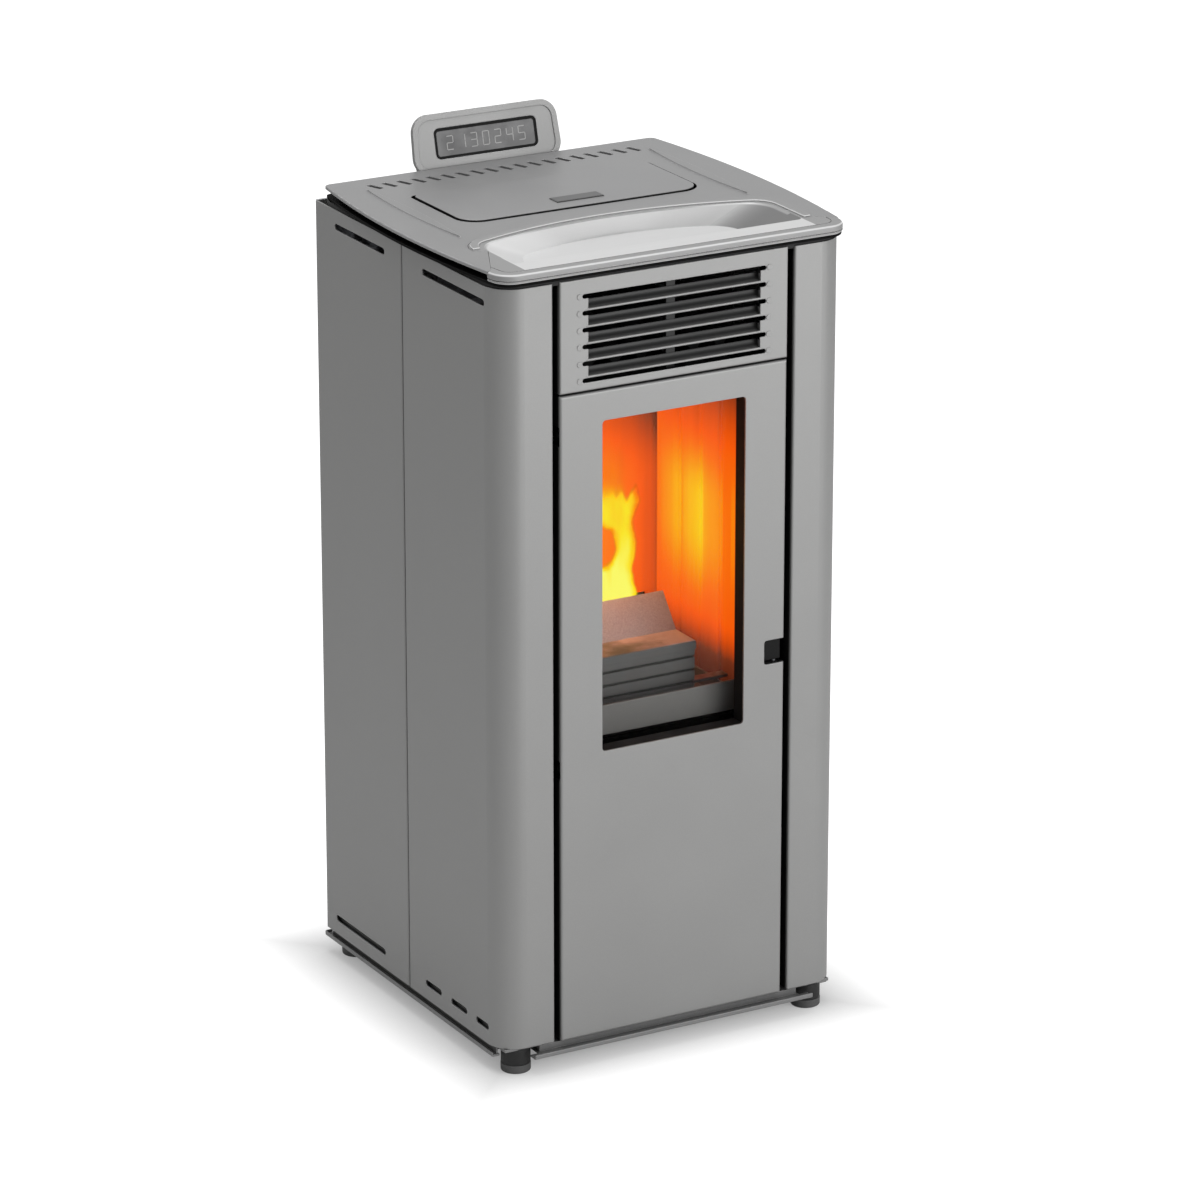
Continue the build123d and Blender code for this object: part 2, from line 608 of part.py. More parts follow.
with BuildPart() as front_tray:
    with BuildSketch(Plane.XY.offset(FRAME_TOP)) as rim_outline:
        with BuildLine():
            top_outline(TOP_FRONT)
        make_face()
        fillet(rim_outline.vertices().group_by(Axis.Y)[0], TOP_CORNER_R)
    extrude(amount=PLATE_TOP - FRAME_TOP)
    fillet(front_tray.edges().group_by(Axis.Z)[-1], RIM_R)
    fillet(front_tray.edges().group_by(Axis.Z)[0], RIM_R - 1)
    with BuildSketch(Plane.XY.offset(FRAME_TOP)) as rim_inside:
        with BuildLine():
            top_outline(TOP_FRONT, inset=RIM_WIDTH)
        make_face()
        fillet(rim_inside.vertices().group_by(Axis.Y)[0], TOP_CORNER_R - RIM_WIDTH)
    extrude(amount=PLATE_Z - FRAME_TOP, mode=Mode.SUBTRACT)
    for outer_inset, inner_inset, groove_z, groove_height in (
        (-1.0, GROOVE_DEPTH, FACE_GROOVE_Z, GROOVE_WIDTH),
        (TOP_GROOVE_INSET, TOP_GROOVE_INSET + GROOVE_WIDTH, PLATE_TOP - GROOVE_DEPTH, GROOVE_DEPTH),
    ):
        with BuildSketch(Plane.XY.offset(groove_z)) as groove_ring:
            for inset, mode in ((outer_inset, Mode.ADD), (inner_inset, Mode.SUBTRACT)):
                with BuildSketch(Plane.XY.offset(groove_z), mode=Mode.PRIVATE) as groove_edge:
                    with BuildLine():
                        top_outline(TOP_FRONT, inset=inset)
                    make_face()
                    fillet(groove_edge.vertices().group_by(Axis.Y)[0], TOP_CORNER_R - inset)
                add(groove_edge.sketch, mode=mode)
        extrude(amount=groove_height, mode=Mode.SUBTRACT)
    add(tray_zone.part, mode=Mode.INTERSECT)
    add(tray_bead.part)
    add(dish_outer.part)
    add(dish_hollow.part, mode=Mode.SUBTRACT)
keep(front_tray, "front_tray")

# ---------------------------------------------------------------- hopper lid
with BuildPart() as hopper_lid:
    with BuildSketch(Plane.XY.offset(PLATE_Z)) as lid_outline:
        with Locations((0, behind((LID_FRONT + LID_BACK) / 2))):
            Rectangle(2 * LID_HALF, LID_BACK - LID_FRONT)
        round_corners(lid_outline, LID_FRONT_R, LID_BACK_R)
    extrude(amount=LID_TOP - PLATE_Z)
    fillet(hopper_lid.edges().group_by(Axis.Z)[-1], 0.8)
    block((-22, 32), (198, 215), (LID_TOP, LID_TOP + 0.8))
    for side in (-1, 1):
        lug_x = sorted((side * 127, side * 131))
        block(lug_x, (LID_AXIS_DEPTH - 4, LID_AXIS_DEPTH + 4), (839, PLATE_Z))
        cross_rod(LID_AXIS_DEPTH, LID_AXIS_Z, LID_PIN_R, sorted((side * 129, side * 143.5)))
keep(hopper_lid, "hopper_lid")

SEAL_GAP = 0.5
with BuildPart() as lid_seal:
    seal_z = (FRAME_TOP + 3 + SEAL_GAP, PLATE_Z)
    block((-NECK_HALF - 2, NECK_HALF + 2), (NECK_FRONT - 2, NECK_BACK + 2), seal_z)
    block((-NECK_HALF + 6, NECK_HALF - 6), (NECK_FRONT + 6, NECK_BACK - 6), seal_z, mode=Mode.SUBTRACT)
keep(lid_seal, "lid_seal")

# ---------------------------------------------------------------- vent grille
FRONT_PLANE = Plane.XZ.offset(-FRONT_Y)
GRILLE_SHEET = 1.5
GRILLE_FOLD = 14.0
SCOOP_R = 9.0  # each scoop curves from its lip inward and up
SCOOP_AXIS = 1.0
SCOOP_HALF = 98.0
LIP_R = 1.3
END_BOSS_X = 107.8
END_BOSS_R = 2.9
END_BOSS_HEIGHT = 0.6
with BuildPart() as scoop:
    cross_rod(SCOOP_AXIS, SCOOP_R, SCOOP_R, (-SCOOP_HALF - GRILLE_SHEET, SCOOP_HALF + GRILLE_SHEET))
    cross_rod(SCOOP_AXIS, SCOOP_R, SCOOP_R - GRILLE_SHEET, (-SCOOP_HALF, SCOOP_HALF), mode=Mode.SUBTRACT)
    scoop_z = (-1, 2 * SCOOP_R + 1)
    block((-SLOT_HALF, SLOT_HALF), (-SCOOP_R, SCOOP_AXIS), scoop_z, mode=Mode.SUBTRACT)
    block((-SLOT_HALF, SLOT_HALF), (0, 2 * SCOOP_R), (SCOOP_R, scoop_z[1]), mode=Mode.SUBTRACT)
    cross_rod(LIP_R / 2, LIP_R * 0.8, LIP_R, (-SCOOP_HALF - GRILLE_SHEET, SCOOP_HALF + GRILLE_SHEET))

with BuildPart() as vent_grille:
    block((-DOOR_HALF, DOOR_HALF), (0, GRILLE_FOLD), (GRILLE_BOTTOM, GRILLE_TOP))
    fillet(vent_grille.faces().sort_by(Axis.Y)[0].edges(), 1.6)
    offset(amount=-GRILLE_SHEET, openings=vent_grille.faces().sort_by(Axis.Y)[-1])
    for slot in range(SLOT_COUNT):
        slot_z = TOP_SLOT_Z - slot * SLOT_PITCH
        with BuildSketch(FRONT_PLANE):
            with Locations((0, slot_z)):
                SlotOverall(2 * SLOT_HALF, SLOT_HEIGHT)
        extrude(amount=-GRILLE_SHEET, mode=Mode.SUBTRACT)
        for side in (-1, 1):
            rod(side * END_BOSS_X, slot_z, END_BOSS_R, (-END_BOSS_HEIGHT, GRILLE_SHEET))
    for lower_slot in range(1, SLOT_COUNT):
        scoop_low = TOP_SLOT_Z - lower_slot * SLOT_PITCH + SLOT_HEIGHT / 2
        pocket_z = (scoop_low + GRILLE_SHEET, scoop_low + SLOT_PITCH - SLOT_HEIGHT / 2)
        block((-SCOOP_HALF, SCOOP_HALF), (-1, GRILLE_SHEET), pocket_z, mode=Mode.SUBTRACT)
        add(scoop.part.moved(Location((0, 0, scoop_low))))
    block((-5, 5), (SCOOP_AXIS + SCOOP_R - 1, GRILLE_FOLD), (GRILLE_BOTTOM, GRILLE_TOP))
    for side in (-1, 1):
        ear_x = sorted((side * DOOR_HALF, side * (DOOR_HALF - GRILLE_SHEET)))
        block(ear_x, (GRILLE_FOLD, BULKHEAD_DEPTH), (740, 800))
keep(vent_grille, "vent_grille")

# ---------------------------------------------------------------- door
NOTCH_X = 106.0
NOTCH_BOTTOM = 392.5
NOTCH_TOP = 418.5
FRAME_HALF = 116.0
FRAME_BOTTOM = 298.0
FRAME_HIGH = 708.0
GLASS_HALF = 92.0
GLASS_BOTTOM = 324.0
GLASS_TOP = 692.0
window_height = WINDOW_TOP - WINDOW_BOTTOM
window_middle = (WINDOW_TOP + WINDOW_BOTTOM) / 2

with BuildPart() as door_panel:
    block((-DOOR_HALF, DOOR_HALF), (0, DOOR_DEPTH), (DOOR_BOTTOM, DOOR_TOP))
    fillet(door_panel.faces().sort_by(Axis.Y)[0].edges(), DOOR_EDGE_R)
    offset(amount=-DOOR_SHEET, openings=door_panel.faces().sort_by(Axis.Y)[-1])
    with BuildSketch(FRONT_PLANE):
        with Locations((0, window_middle)):
            RectangleRounded(2 * WINDOW_HALF, window_height, 4)
        with Locations(((NOTCH_X + DOOR_HALF + 6) / 2, (NOTCH_BOTTOM + NOTCH_TOP) / 2)):
            RectangleRounded(DOOR_HALF + 6 - NOTCH_X, NOTCH_TOP - NOTCH_BOTTOM, 3)
    extrude(amount=-DOOR_DEPTH, mode=Mode.SUBTRACT)
    for hinge_z in HINGE_HEIGHTS:
        edge_x = (-DOOR_HALF - 1, -DOOR_HALF + DOOR_SHEET + 0.5)
        block(edge_x, (DOOR_SHEET, DOOR_DEPTH + 1), (hinge_z - 9, hinge_z + 11), mode=Mode.SUBTRACT)
keep(door_panel, "door_panel")

LEVER_X = 123.5  # pivot of the catch lever
LEVER_DEPTH = 11.0
LEVER_PIN_R = 2.0
KNUCKLE = 4.0
with BuildPart() as door_frame:
    liner = (WINDOW_HALF + 2, WINDOW_BOTTOM - 2, WINDOW_TOP + 2)
    window = (WINDOW_HALF, WINDOW_BOTTOM, WINDOW_TOP)
    ring_block(liner, window, (DOOR_SHEET, 19))
    ring_block((FRAME_HALF, FRAME_BOTTOM, FRAME_HIGH), window, (16.5, 19))
    channel = (FRAME_HALF - 2.5, FRAME_BOTTOM + 2.5, FRAME_HIGH - 2.5)
    ring_block((FRAME_HALF, FRAME_BOTTOM, FRAME_HIGH), channel, (19, 33))
    ring_block((103.5, 310.5, 695.5), (101, 313, 693), (19, 28))
    for hinge_z in HINGE_HEIGHTS:
        knuckle_z = (hinge_z, hinge_z + KNUCKLE)
        block((HINGE_X, -106), (4, 16.5), knuckle_z)
        post(HINGE_X, HINGE_DEPTH, 5.0, knuckle_z)
        post(HINGE_X, HINGE_DEPTH, HINGE_PIN_R + RUNNING_GAP, knuckle_z, mode=Mode.SUBTRACT)
    for ear_z in ((390, 392), (419, 421)):
        block((108, 127.2), (6, 16.5), ear_z)
        post(LEVER_X, LEVER_DEPTH, LEVER_PIN_R, ear_z, mode=Mode.SUBTRACT)
keep(door_frame, "door_frame")

with BuildPart() as glass_gasket:
    ring_block((GLASS_HALF, GLASS_BOTTOM, GLASS_TOP), (86, 330, 686), (19, 20))
keep(glass_gasket, "glass_gasket")

with BuildPart() as door_glass:
    block((-GLASS_HALF, GLASS_HALF), (20, 24), (GLASS_BOTTOM, GLASS_TOP))
keep(door_glass, "door_glass")

with BuildPart() as glass_clips:
    for side in (-1, 1):
        for clip_z in (350, 508, 666):
            block(sorted((side * 94, side * 100)), (19, 25.5), (clip_z - 8, clip_z + 8))
            block(sorted((side * 86, side * 100)), (24, 25.5), (clip_z - 8, clip_z + 8))
keep(glass_clips, "glass_clips")

with BuildPart() as door_seal:
    ring_block((113.2, 300.8, 705.2), (103.8, 310.2, 695.8), (19, 33.4))
    fillet(door_seal.faces().sort_by(Axis.Y)[-1].edges(), 3)
keep(door_seal, "door_seal")

with BuildPart() as hinge_brackets:
    for hinge_z in HINGE_HEIGHTS:
        arm_z = (hinge_z - 0.4 - KNUCKLE, hinge_z - 0.4)
        block((HINGE_X - 4.4, HINGE_X + 4.4), (HINGE_DEPTH, 31), arm_z)
        post(HINGE_X, HINGE_DEPTH, 4.4, arm_z)
        post(HINGE_X, HINGE_DEPTH, HINGE_PIN_R, (arm_z[0], hinge_z + 9))
        block((-134, -118), (31, BULKHEAD_DEPTH), (hinge_z - 20, hinge_z + 12))
keep(hinge_brackets, "hinge_brackets")

# ---------------------------------------------------------------- door catch
NOSE_DEPTH = 28.0
with BuildPart() as catch_lever:
    block((108, 128.5), (6, 9), (395, 416))
    fillet(catch_lever.edges().filter_by(Axis.Z), 1.0)
    post(LEVER_X, LEVER_DEPTH, 4.2, (395, 416))
    block((LEVER_X - 2.5, LEVER_X + 2.5), (LEVER_DEPTH, NOSE_DEPTH), (401, 410))
    post(LEVER_X, NOSE_DEPTH, 3.0, (401, 410))
    post(LEVER_X, LEVER_DEPTH, LEVER_PIN_R + RUNNING_GAP, (394, 417), mode=Mode.SUBTRACT)
keep(catch_lever, "catch_lever")

with BuildPart() as catch_pin:
    post(LEVER_X, LEVER_DEPTH, LEVER_PIN_R, (390, 422))
keep(catch_pin, "catch_pin")

with BuildPart() as catch_spring:
    post(LEVER_X, LEVER_DEPTH, 3.8, (416.4, 418.8))
    post(LEVER_X, LEVER_DEPTH, LEVER_PIN_R + 0.3, (416, 419), mode=Mode.SUBTRACT)
keep(catch_spring, "catch_spring")

with BuildPart() as catch_keeper:
    block((127.9, 136), (31, BULKHEAD_DEPTH), (394, 417))
    block((127.9, 130.9), (22, 31), (398, 413))
    fillet(catch_keeper.edges().filter_by(Axis.Z).group_by(Axis.Y)[0], 1.4)
keep(catch_keeper, "catch_keeper")

# ---------------------------------------------------------------- control panel
PANEL_SHEET = 2.0
PANEL_TAPER = 1.6
PANEL_CORNER_R = 19.0
PANEL_RIM = 6.0
DISPLAY_HALF = 60.0
DISPLAY_LOW = 15.5
DISPLAY_HIGH = 47.8
lean = radians(PANEL_LEAN)
panel_face = Plane(
    origin=(0, behind(PANEL_DEPTH), 838.0),
    x_dir=(1, 0, 0),
    z_dir=(0, -cos(lean), sin(lean)),
)


def panel_outline(inset=0.0):
    """Draw the panel's outline, narrower at the top, moved in at its sides and top by inset."""
    low_half = PANEL_HALF + PANEL_TAPER - inset
    high_half = PANEL_HALF - PANEL_TAPER - inset
    high = PANEL_HEIGHT + 2 - inset
    Polyline((-low_half, 0), (low_half, 0), (high_half, high), (-high_half, high), close=True)


with BuildPart() as control_housing:
    for inset, thickness in ((0.0, PANEL_SHEET), (PANEL_INSET, PANEL_THICKNESS - PANEL_SHEET)):
        with BuildSketch(panel_face.offset(-PANEL_SHEET)) as housing_outline:
            with BuildLine():
                panel_outline(inset)
            make_face()
            fillet(housing_outline.vertices().group_by(Axis.Z)[-1], PANEL_CORNER_R - inset)
        extrude(amount=-thickness)
    with BuildSketch(panel_face.offset(-PANEL_SHEET)) as housing_inside:
        with BuildLine():
            panel_outline(PANEL_INSET)
        make_face()
        fillet(housing_inside.vertices().group_by(Axis.Z)[-1], PANEL_CORNER_R - PANEL_INSET)
        offset(amount=-PANEL_SHEET, mode=Mode.REPLACE)
    extrude(amount=-(PANEL_THICKNESS - 2 * PANEL_SHEET), mode=Mode.SUBTRACT)
    block((-30, 30), (rear_face, rear_face + 2), (780, 836))
    for side in (-1, 1):
        rod(side * 20, 795, 3.0, (rear_face, rear_face + 2), mode=Mode.SUBTRACT)
keep(control_housing, "control_housing")

with BuildPart() as control_fascia:
    with BuildSketch(panel_face) as fascia_outline:
        with BuildLine():
            panel_outline()
        make_face()
        fillet(fascia_outline.vertices().group_by(Axis.Z)[-1], PANEL_CORNER_R)
    extrude(amount=-PANEL_SHEET)
    with BuildSketch(panel_face) as rim_band:
        with BuildLine():
            panel_outline()
        make_face()
        fillet(rim_band.vertices().group_by(Axis.Z)[-1], PANEL_CORNER_R)
        offset(amount=-PANEL_RIM, mode=Mode.SUBTRACT)
    extrude(amount=1.2)
    with BuildSketch(panel_face):
        with Locations((0, (DISPLAY_LOW + DISPLAY_HIGH) / 2)):
            RectangleRounded(2 * DISPLAY_HALF, DISPLAY_HIGH - DISPLAY_LOW, 6)
    extrude(amount=-PANEL_SHEET, mode=Mode.SUBTRACT)
keep(control_fascia, "control_fascia")

with BuildPart() as display_window:
    with BuildSketch(panel_face.offset(-0.7)):
        with Locations((0, (DISPLAY_LOW + DISPLAY_HIGH) / 2)):
            RectangleRounded(2 * DISPLAY_HALF, DISPLAY_HIGH - DISPLAY_LOW, 6)
    extrude(amount=-1.3)
keep(display_window, "display_window")

with BuildPart() as display_board:
    with BuildSketch(panel_face.offset(-9)):
        with Locations((0, PANEL_HEIGHT / 2)):
            Rectangle(134, 38)
            with GridLocations(122, 30, 2, 2):
                Circle(1.6, mode=Mode.SUBTRACT)
    extrude(amount=-1.6)
    with BuildSketch(panel_face.offset(-4)):
        with Locations((0, (DISPLAY_LOW + DISPLAY_HIGH) / 2)):
            Rectangle(100, 24)
    extrude(amount=-5)
keep(display_board, "display_board")

# ---------------------------------------------------------------- firebox
LINER_FACE = 110.0
LINER_GROOVES = ((42, 92), (100, 132), (140, 173), (181, 226))  # the ribs between the grooves
LINER_Z = (338, 698)
EXHAUST_X = (45, 99)
EXHAUST_Z = (352, 405)
with BuildPart() as firebox_body:
    block((-FIREBOX_HALF, FIREBOX_HALF), (36, FIREBOX_BACK), (FIREBOX_FLOOR, FIREBOX_TOP))
    inside_half = FIREBOX_HALF - FIREBOX_WALL
    inside_z = (FIREBOX_FLOOR + FIREBOX_WALL, FIREBOX_TOP - FIREBOX_WALL)
    block((-inside_half, inside_half), (35, FIREBOX_BACK - FIREBOX_WALL), inside_z, mode=Mode.SUBTRACT)
    wall_depth = (FIREBOX_BACK - FIREBOX_WALL - 1, FIREBOX_BACK + 1)
    rod(0, AUGER_Z, AUGER_TUBE_R + SLACK, wall_depth, mode=Mode.SUBTRACT)
    rod(INTAKE_X, INTAKE_Z, INTAKE_R + SLACK, wall_depth, mode=Mode.SUBTRACT)
    rod(IGNITER_X, IGNITER_Z, IGNITER_R + SLACK, wall_depth, mode=Mode.SUBTRACT)
    block(EXHAUST_X, wall_depth, EXHAUST_Z, mode=Mode.SUBTRACT)
    for side in (-1, 1):
        block(sorted((side * 90, side * inside_half)), (40, 226), (330, 336))
keep(firebox_body, "firebox_body")

with BuildPart() as side_liners:
    for side in (-1, 1):
        block(sorted((side * (LINER_FACE + 3), side * inside_half)), (40, 232), LINER_Z)
        for rib_depth in LINER_GROOVES:
            block(sorted((side * LINER_FACE, side * (LINER_FACE + 3))), rib_depth, LINER_Z)
keep(side_liners, "side_liners")

with BuildPart() as back_liner:
    block((-LINER_FACE - 2.7, LINER_FACE + 2.7), (228, 232), LINER_Z)
    liner_depth = (227, 233)
    rod(0, AUGER_Z, AUGER_TUBE_R + SLACK, liner_depth, mode=Mode.SUBTRACT)
    rod(INTAKE_X, INTAKE_Z, INTAKE_R + SLACK, liner_depth, mode=Mode.SUBTRACT)
    rod(IGNITER_X, IGNITER_Z, IGNITER_R + SLACK, liner_depth, mode=Mode.SUBTRACT)
    block(EXHAUST_X, liner_depth, EXHAUST_Z, mode=Mode.SUBTRACT)
keep(back_liner, "back_liner")


def side_profile(half_width, points, mode=Mode.ADD):
    """Add, or cut away, a plate or wedge: its outline in (depth, z) points, run across the stove."""
    outline = Wire.make_polygon([(0, behind(depth), z) for depth, z in points], close=True)
    extrude(Face(outline), amount=half_width, both=True, mode=mode)


with BuildPart() as flame_baffle:
    side_profile(LINER_FACE, [(60, 690), (225, 650), (225, 656), (60, 696)])
keep(flame_baffle, "flame_baffle")

DRAWER_HALF = 100.0
DRAWER_FRONT = 38.0
DRAWER_BACK = 222.0
with BuildPart() as ash_drawer:
    block((-DRAWER_HALF, DRAWER_HALF), (DRAWER_FRONT, DRAWER_BACK), (336, 354))
    drawer_inside = (-DRAWER_HALF + 2, DRAWER_HALF - 2)
    block(drawer_inside, (DRAWER_FRONT + 3, DRAWER_BACK - 2), (338, 355), mode=Mode.SUBTRACT)
    block((-DRAWER_HALF - 2, DRAWER_HALF + 2), (DRAWER_FRONT, DRAWER_FRONT + 3), (336, 368))
    fillet(ash_drawer.edges().group_by(Axis.Z)[-1].filter_by(Axis.X), 1.2)
keep(ash_drawer, "ash_drawer")

HOLDER_HALF = 60.0
HOLDER_FRONT = 62.0
HOLDER_BACK = 200.0
HOLDER_Z = 358.0
with BuildPart() as pot_holder:
    block((-HOLDER_HALF, HOLDER_HALF), (HOLDER_FRONT, HOLDER_BACK), (HOLDER_Z, POT_FLANGE_Z))
    block((-HOLDER_HALF - 1, HOLDER_HALF + 1), (HOLDER_FRONT - 1, HOLDER_BACK), (400, POT_FLANGE_Z))
    fillet(pot_holder.edges().group_by(Axis.Z)[-1], 1.5)
    holder_width = (-HOLDER_HALF - 1, HOLDER_HALF + 1)
    for groove_z in (365, 378, 392):
        groove = (groove_z - 0.8, groove_z + 0.8)
        block(holder_width, (HOLDER_FRONT - 1, HOLDER_FRONT + 1.5), groove, mode=Mode.SUBTRACT)
        for side in (-1, 1):
            groove_x = sorted((side * (HOLDER_HALF - 1.5), side * (HOLDER_HALF + 1)))
            block(groove_x, (HOLDER_FRONT - 1, HOLDER_BACK), groove, mode=Mode.SUBTRACT)
    block((-56, 56), (HOLDER_FRONT + 4, 197.5), (HOLDER_Z - 1, POT_FLANGE_Z - 4), mode=Mode.SUBTRACT)
    pot_width = (-POT_HALF - 1, POT_HALF + 1)
    block(pot_width, (POT_FRONT - 1, POT_BACK + 1.2), (400, POT_FLANGE_Z + 1), mode=Mode.SUBTRACT)
    rod(INTAKE_X, INTAKE_Z, INTAKE_R - 2.5, (197, 201), mode=Mode.SUBTRACT)
    rod(IGNITER_X, IGNITER_Z, IGNITER_R + SLACK, (197, 201), mode=Mode.SUBTRACT)
    for bar_depth in ((80, 92), (182, 194)):
        block((-LINER_FACE, LINER_FACE), bar_depth, (HOLDER_Z - 3, HOLDER_Z))
keep(pot_holder, "pot_holder")

with BuildPart() as flame_deflector:
    side_profile(HOLDER_HALF, [(100, POT_FLANGE_Z), (127, 443), (130.1, 440.5), (105, POT_FLANGE_Z)])
keep(flame_deflector, "flame_deflector")

POT_WALL = 3.0
with BuildPart() as burn_pot:
    with BuildSketch(Plane(origin=(0, behind((POT_FRONT + POT_BACK) / 2), 372))):
        RectangleRounded(2 * POT_HALF, POT_BACK - POT_FRONT, 8)
    extrude(amount=60)
    block((-POT_HALF - 6, POT_HALF + 6), (POT_FRONT - 0.5, POT_BACK + 1), (POT_FLANGE_Z, POT_FLANGE_Z + 3))
    with BuildSketch(Plane(origin=(0, behind((POT_FRONT + POT_BACK) / 2), 372 + POT_WALL))):
        RectangleRounded(2 * (POT_HALF - POT_WALL), POT_BACK - POT_FRONT - 2 * POT_WALL, 5)
    extrude(amount=60, mode=Mode.SUBTRACT)
    with BuildSketch(Plane(origin=(0, behind((POT_FRONT + POT_BACK) / 2), 371))):
        with GridLocations(12, 12, 5, 4):
            Circle(2.5)
    extrude(amount=POT_WALL + 2, mode=Mode.SUBTRACT)
keep(burn_pot, "burn_pot")

TUBE_Z = 722.0
TUBE_R = 13.0
with BuildPart() as heat_exchanger:
    for header in ((40, 42), (232, 234)):
        block((-112, 112), header, (FIREBOX_TOP, 741))
    for index in range(-3, 4):
        rod(30 * index, TUBE_Z, TUBE_R, (40, 234))
    for index in range(-3, 4):
        rod(30 * index, TUBE_Z, TUBE_R - 1.5, (39, 235), mode=Mode.SUBTRACT)
keep(heat_exchanger, "heat_exchanger")

# ---------------------------------------------------------------- hopper and feed
HOPPER_WALL = 2.5
HOPPER_LEVELS = (  # height, half width, front depth, back depth
    (833, 150, 182, 332),
    (800, 150, 203, 332),
    (748, 150, 238, 374),
    (700, 140, 244, 374),
    (600, 110, 246, 372),
    (510, 32, 268, 332),
)
with BuildPart() as hopper:
    for wall, mode in ((0.0, Mode.ADD), (HOPPER_WALL, Mode.SUBTRACT)):
        for upper, lower in zip(HOPPER_LEVELS, HOPPER_LEVELS[1:]):
            for level, half, front, back in (upper, lower):
                with BuildSketch(Plane(origin=(0, behind((front + back) / 2), level))):
                    Rectangle(2 * (half - wall), back - front - 2 * wall)
            loft(ruled=True, mode=mode)
keep(hopper, "hopper")

with BuildPart() as auger_tube:
    side_profile(AUGER_TUBE_R, [(228, 452), (228, 480), (222, 480), (204, 462), (198, 450), (198, 439)])
    chute_run = atan2(452 - 439, 228 - 198)
    side_profile(
        AUGER_TUBE_R - 1.6,
        [(190, 438), (230, 438 + 40 * tan(chute_run)), (230, 480), (190, 480)],
        mode=Mode.SUBTRACT,
    )
    rod(0, AUGER_Z, AUGER_TUBE_R, (222, 340))
    block((-32, 32), (268, 332), (AUGER_Z, 510))
    block((-29.5, 29.5), (270.5, 329.5), (AUGER_Z, 511), mode=Mode.SUBTRACT)
    rod(0, AUGER_Z, AUGER_TUBE_R, (222, 268))
    rod(0, AUGER_Z, AUGER_TUBE_R - 2.5, (221, 338), mode=Mode.SUBTRACT)
    rod(0, AUGER_Z, AUGER_TUBE_R + 8, (338, 342))
    rod(0, AUGER_Z, AUGER_SHAFT_R + RUNNING_GAP, (337, 343), mode=Mode.SUBTRACT)
keep(auger_tube, "auger_tube")

flight_width = AUGER_FLIGHT_R - AUGER_SHAFT_R + 0.6
with BuildPart() as auger_flight:
    with BuildLine() as flight_edge:
        Helix(pitch=AUGER_PITCH, height=100, radius=AUGER_SHAFT_R - 0.6 + flight_width / 2)
    with BuildSketch(Plane(origin=flight_edge.line @ 0, z_dir=flight_edge.line % 0, x_dir=(1, 0, 0))):
        Rectangle(flight_width, 2.4)
    sweep(is_frenet=True)

with BuildPart() as auger_screw:
    rod(0, AUGER_Z, AUGER_SHAFT_R, (228, 352))
    add(auger_flight.part.moved(Location((0, behind(332), AUGER_Z), (90, 0, 0))))
keep(auger_screw, "auger_screw")

with BuildPart() as gear_motor:
    block((-30, 86), (342, 372), (448, 515))
    fillet(gear_motor.edges().filter_by(Axis.Y), 6)
    block((40, 90), (294, 342), (456, 508))
    rod(0, AUGER_Z, AUGER_SHAFT_R + RUNNING_GAP, (341, 353), mode=Mode.SUBTRACT)
keep(gear_motor, "gear_motor")

# ---------------------------------------------------------------- smoke path
DUCT_HALF = 35.0
INLET_HOLE_R = 35.0
with BuildPart() as smoke_duct:
    block((FAN_X - DUCT_HALF, FAN_X + DUCT_HALF), (FIREBOX_BACK, 300), (140, 420))
    duct_inside = (FAN_X - DUCT_HALF + 2, FAN_X + DUCT_HALF - 2)
    block(duct_inside, (FIREBOX_BACK + 2, 298), (142, 418), mode=Mode.SUBTRACT)
    block(EXHAUST_X, (FIREBOX_BACK - 1, FIREBOX_BACK + 3), EXHAUST_Z, mode=Mode.SUBTRACT)
    rod(FAN_X, FAN_Z, INLET_HOLE_R - 4, (297, 301), mode=Mode.SUBTRACT)
keep(smoke_duct, "smoke_duct")

VOLUTE_R = 75.0
FAN_SHAFT_R = 4.0
with BuildPart() as smoke_fan_housing:
    rod(FAN_X, FAN_Z, VOLUTE_R, (300, 345))
    block((-44, FAN_X), (300, 345), (FAN_Z, FAN_Z + 80))
    rod(FAN_X, FAN_Z, VOLUTE_R - 2, (302, 343), mode=Mode.SUBTRACT)
    block((-42, FAN_X), (302, 343), (FAN_Z + 2, FAN_Z + 78), mode=Mode.SUBTRACT)
    rod(FAN_X, FAN_Z, INLET_HOLE_R - 4, (299, 303), mode=Mode.SUBTRACT)
    rod(FAN_X, FAN_Z, FAN_SHAFT_R + 1, (342, 346), mode=Mode.SUBTRACT)
    rod(0, FLUE_Z, FLUE_R - 2, (342, 346), mode=Mode.SUBTRACT)
keep(smoke_fan_housing, "smoke_fan_housing")

IMPELLER_BLADES = 10
with BuildPart() as smoke_impeller:
    rod(FAN_X, FAN_Z, 60, (333, 336))
    rod(FAN_X, FAN_Z, 10, (310, 336))
    rod(FAN_X, FAN_Z, FAN_SHAFT_R, (308, 352))
    with BuildSketch(Plane.XZ.offset(-behind(333))):
        with Locations((FAN_X, FAN_Z)):
            with PolarLocations(34, IMPELLER_BLADES):
                Rectangle(50, 2)
    extrude(amount=22)
keep(smoke_impeller, "smoke_impeller")

with BuildPart() as smoke_motor:
    rod(FAN_X, FAN_Z, 33, (345, 380))
    fillet(smoke_motor.edges().group_by(Axis.Y)[-1], 4)
    rod(FAN_X, FAN_Z, FAN_SHAFT_R + RUNNING_GAP, (344, 353), mode=Mode.SUBTRACT)
keep(smoke_motor, "smoke_motor")

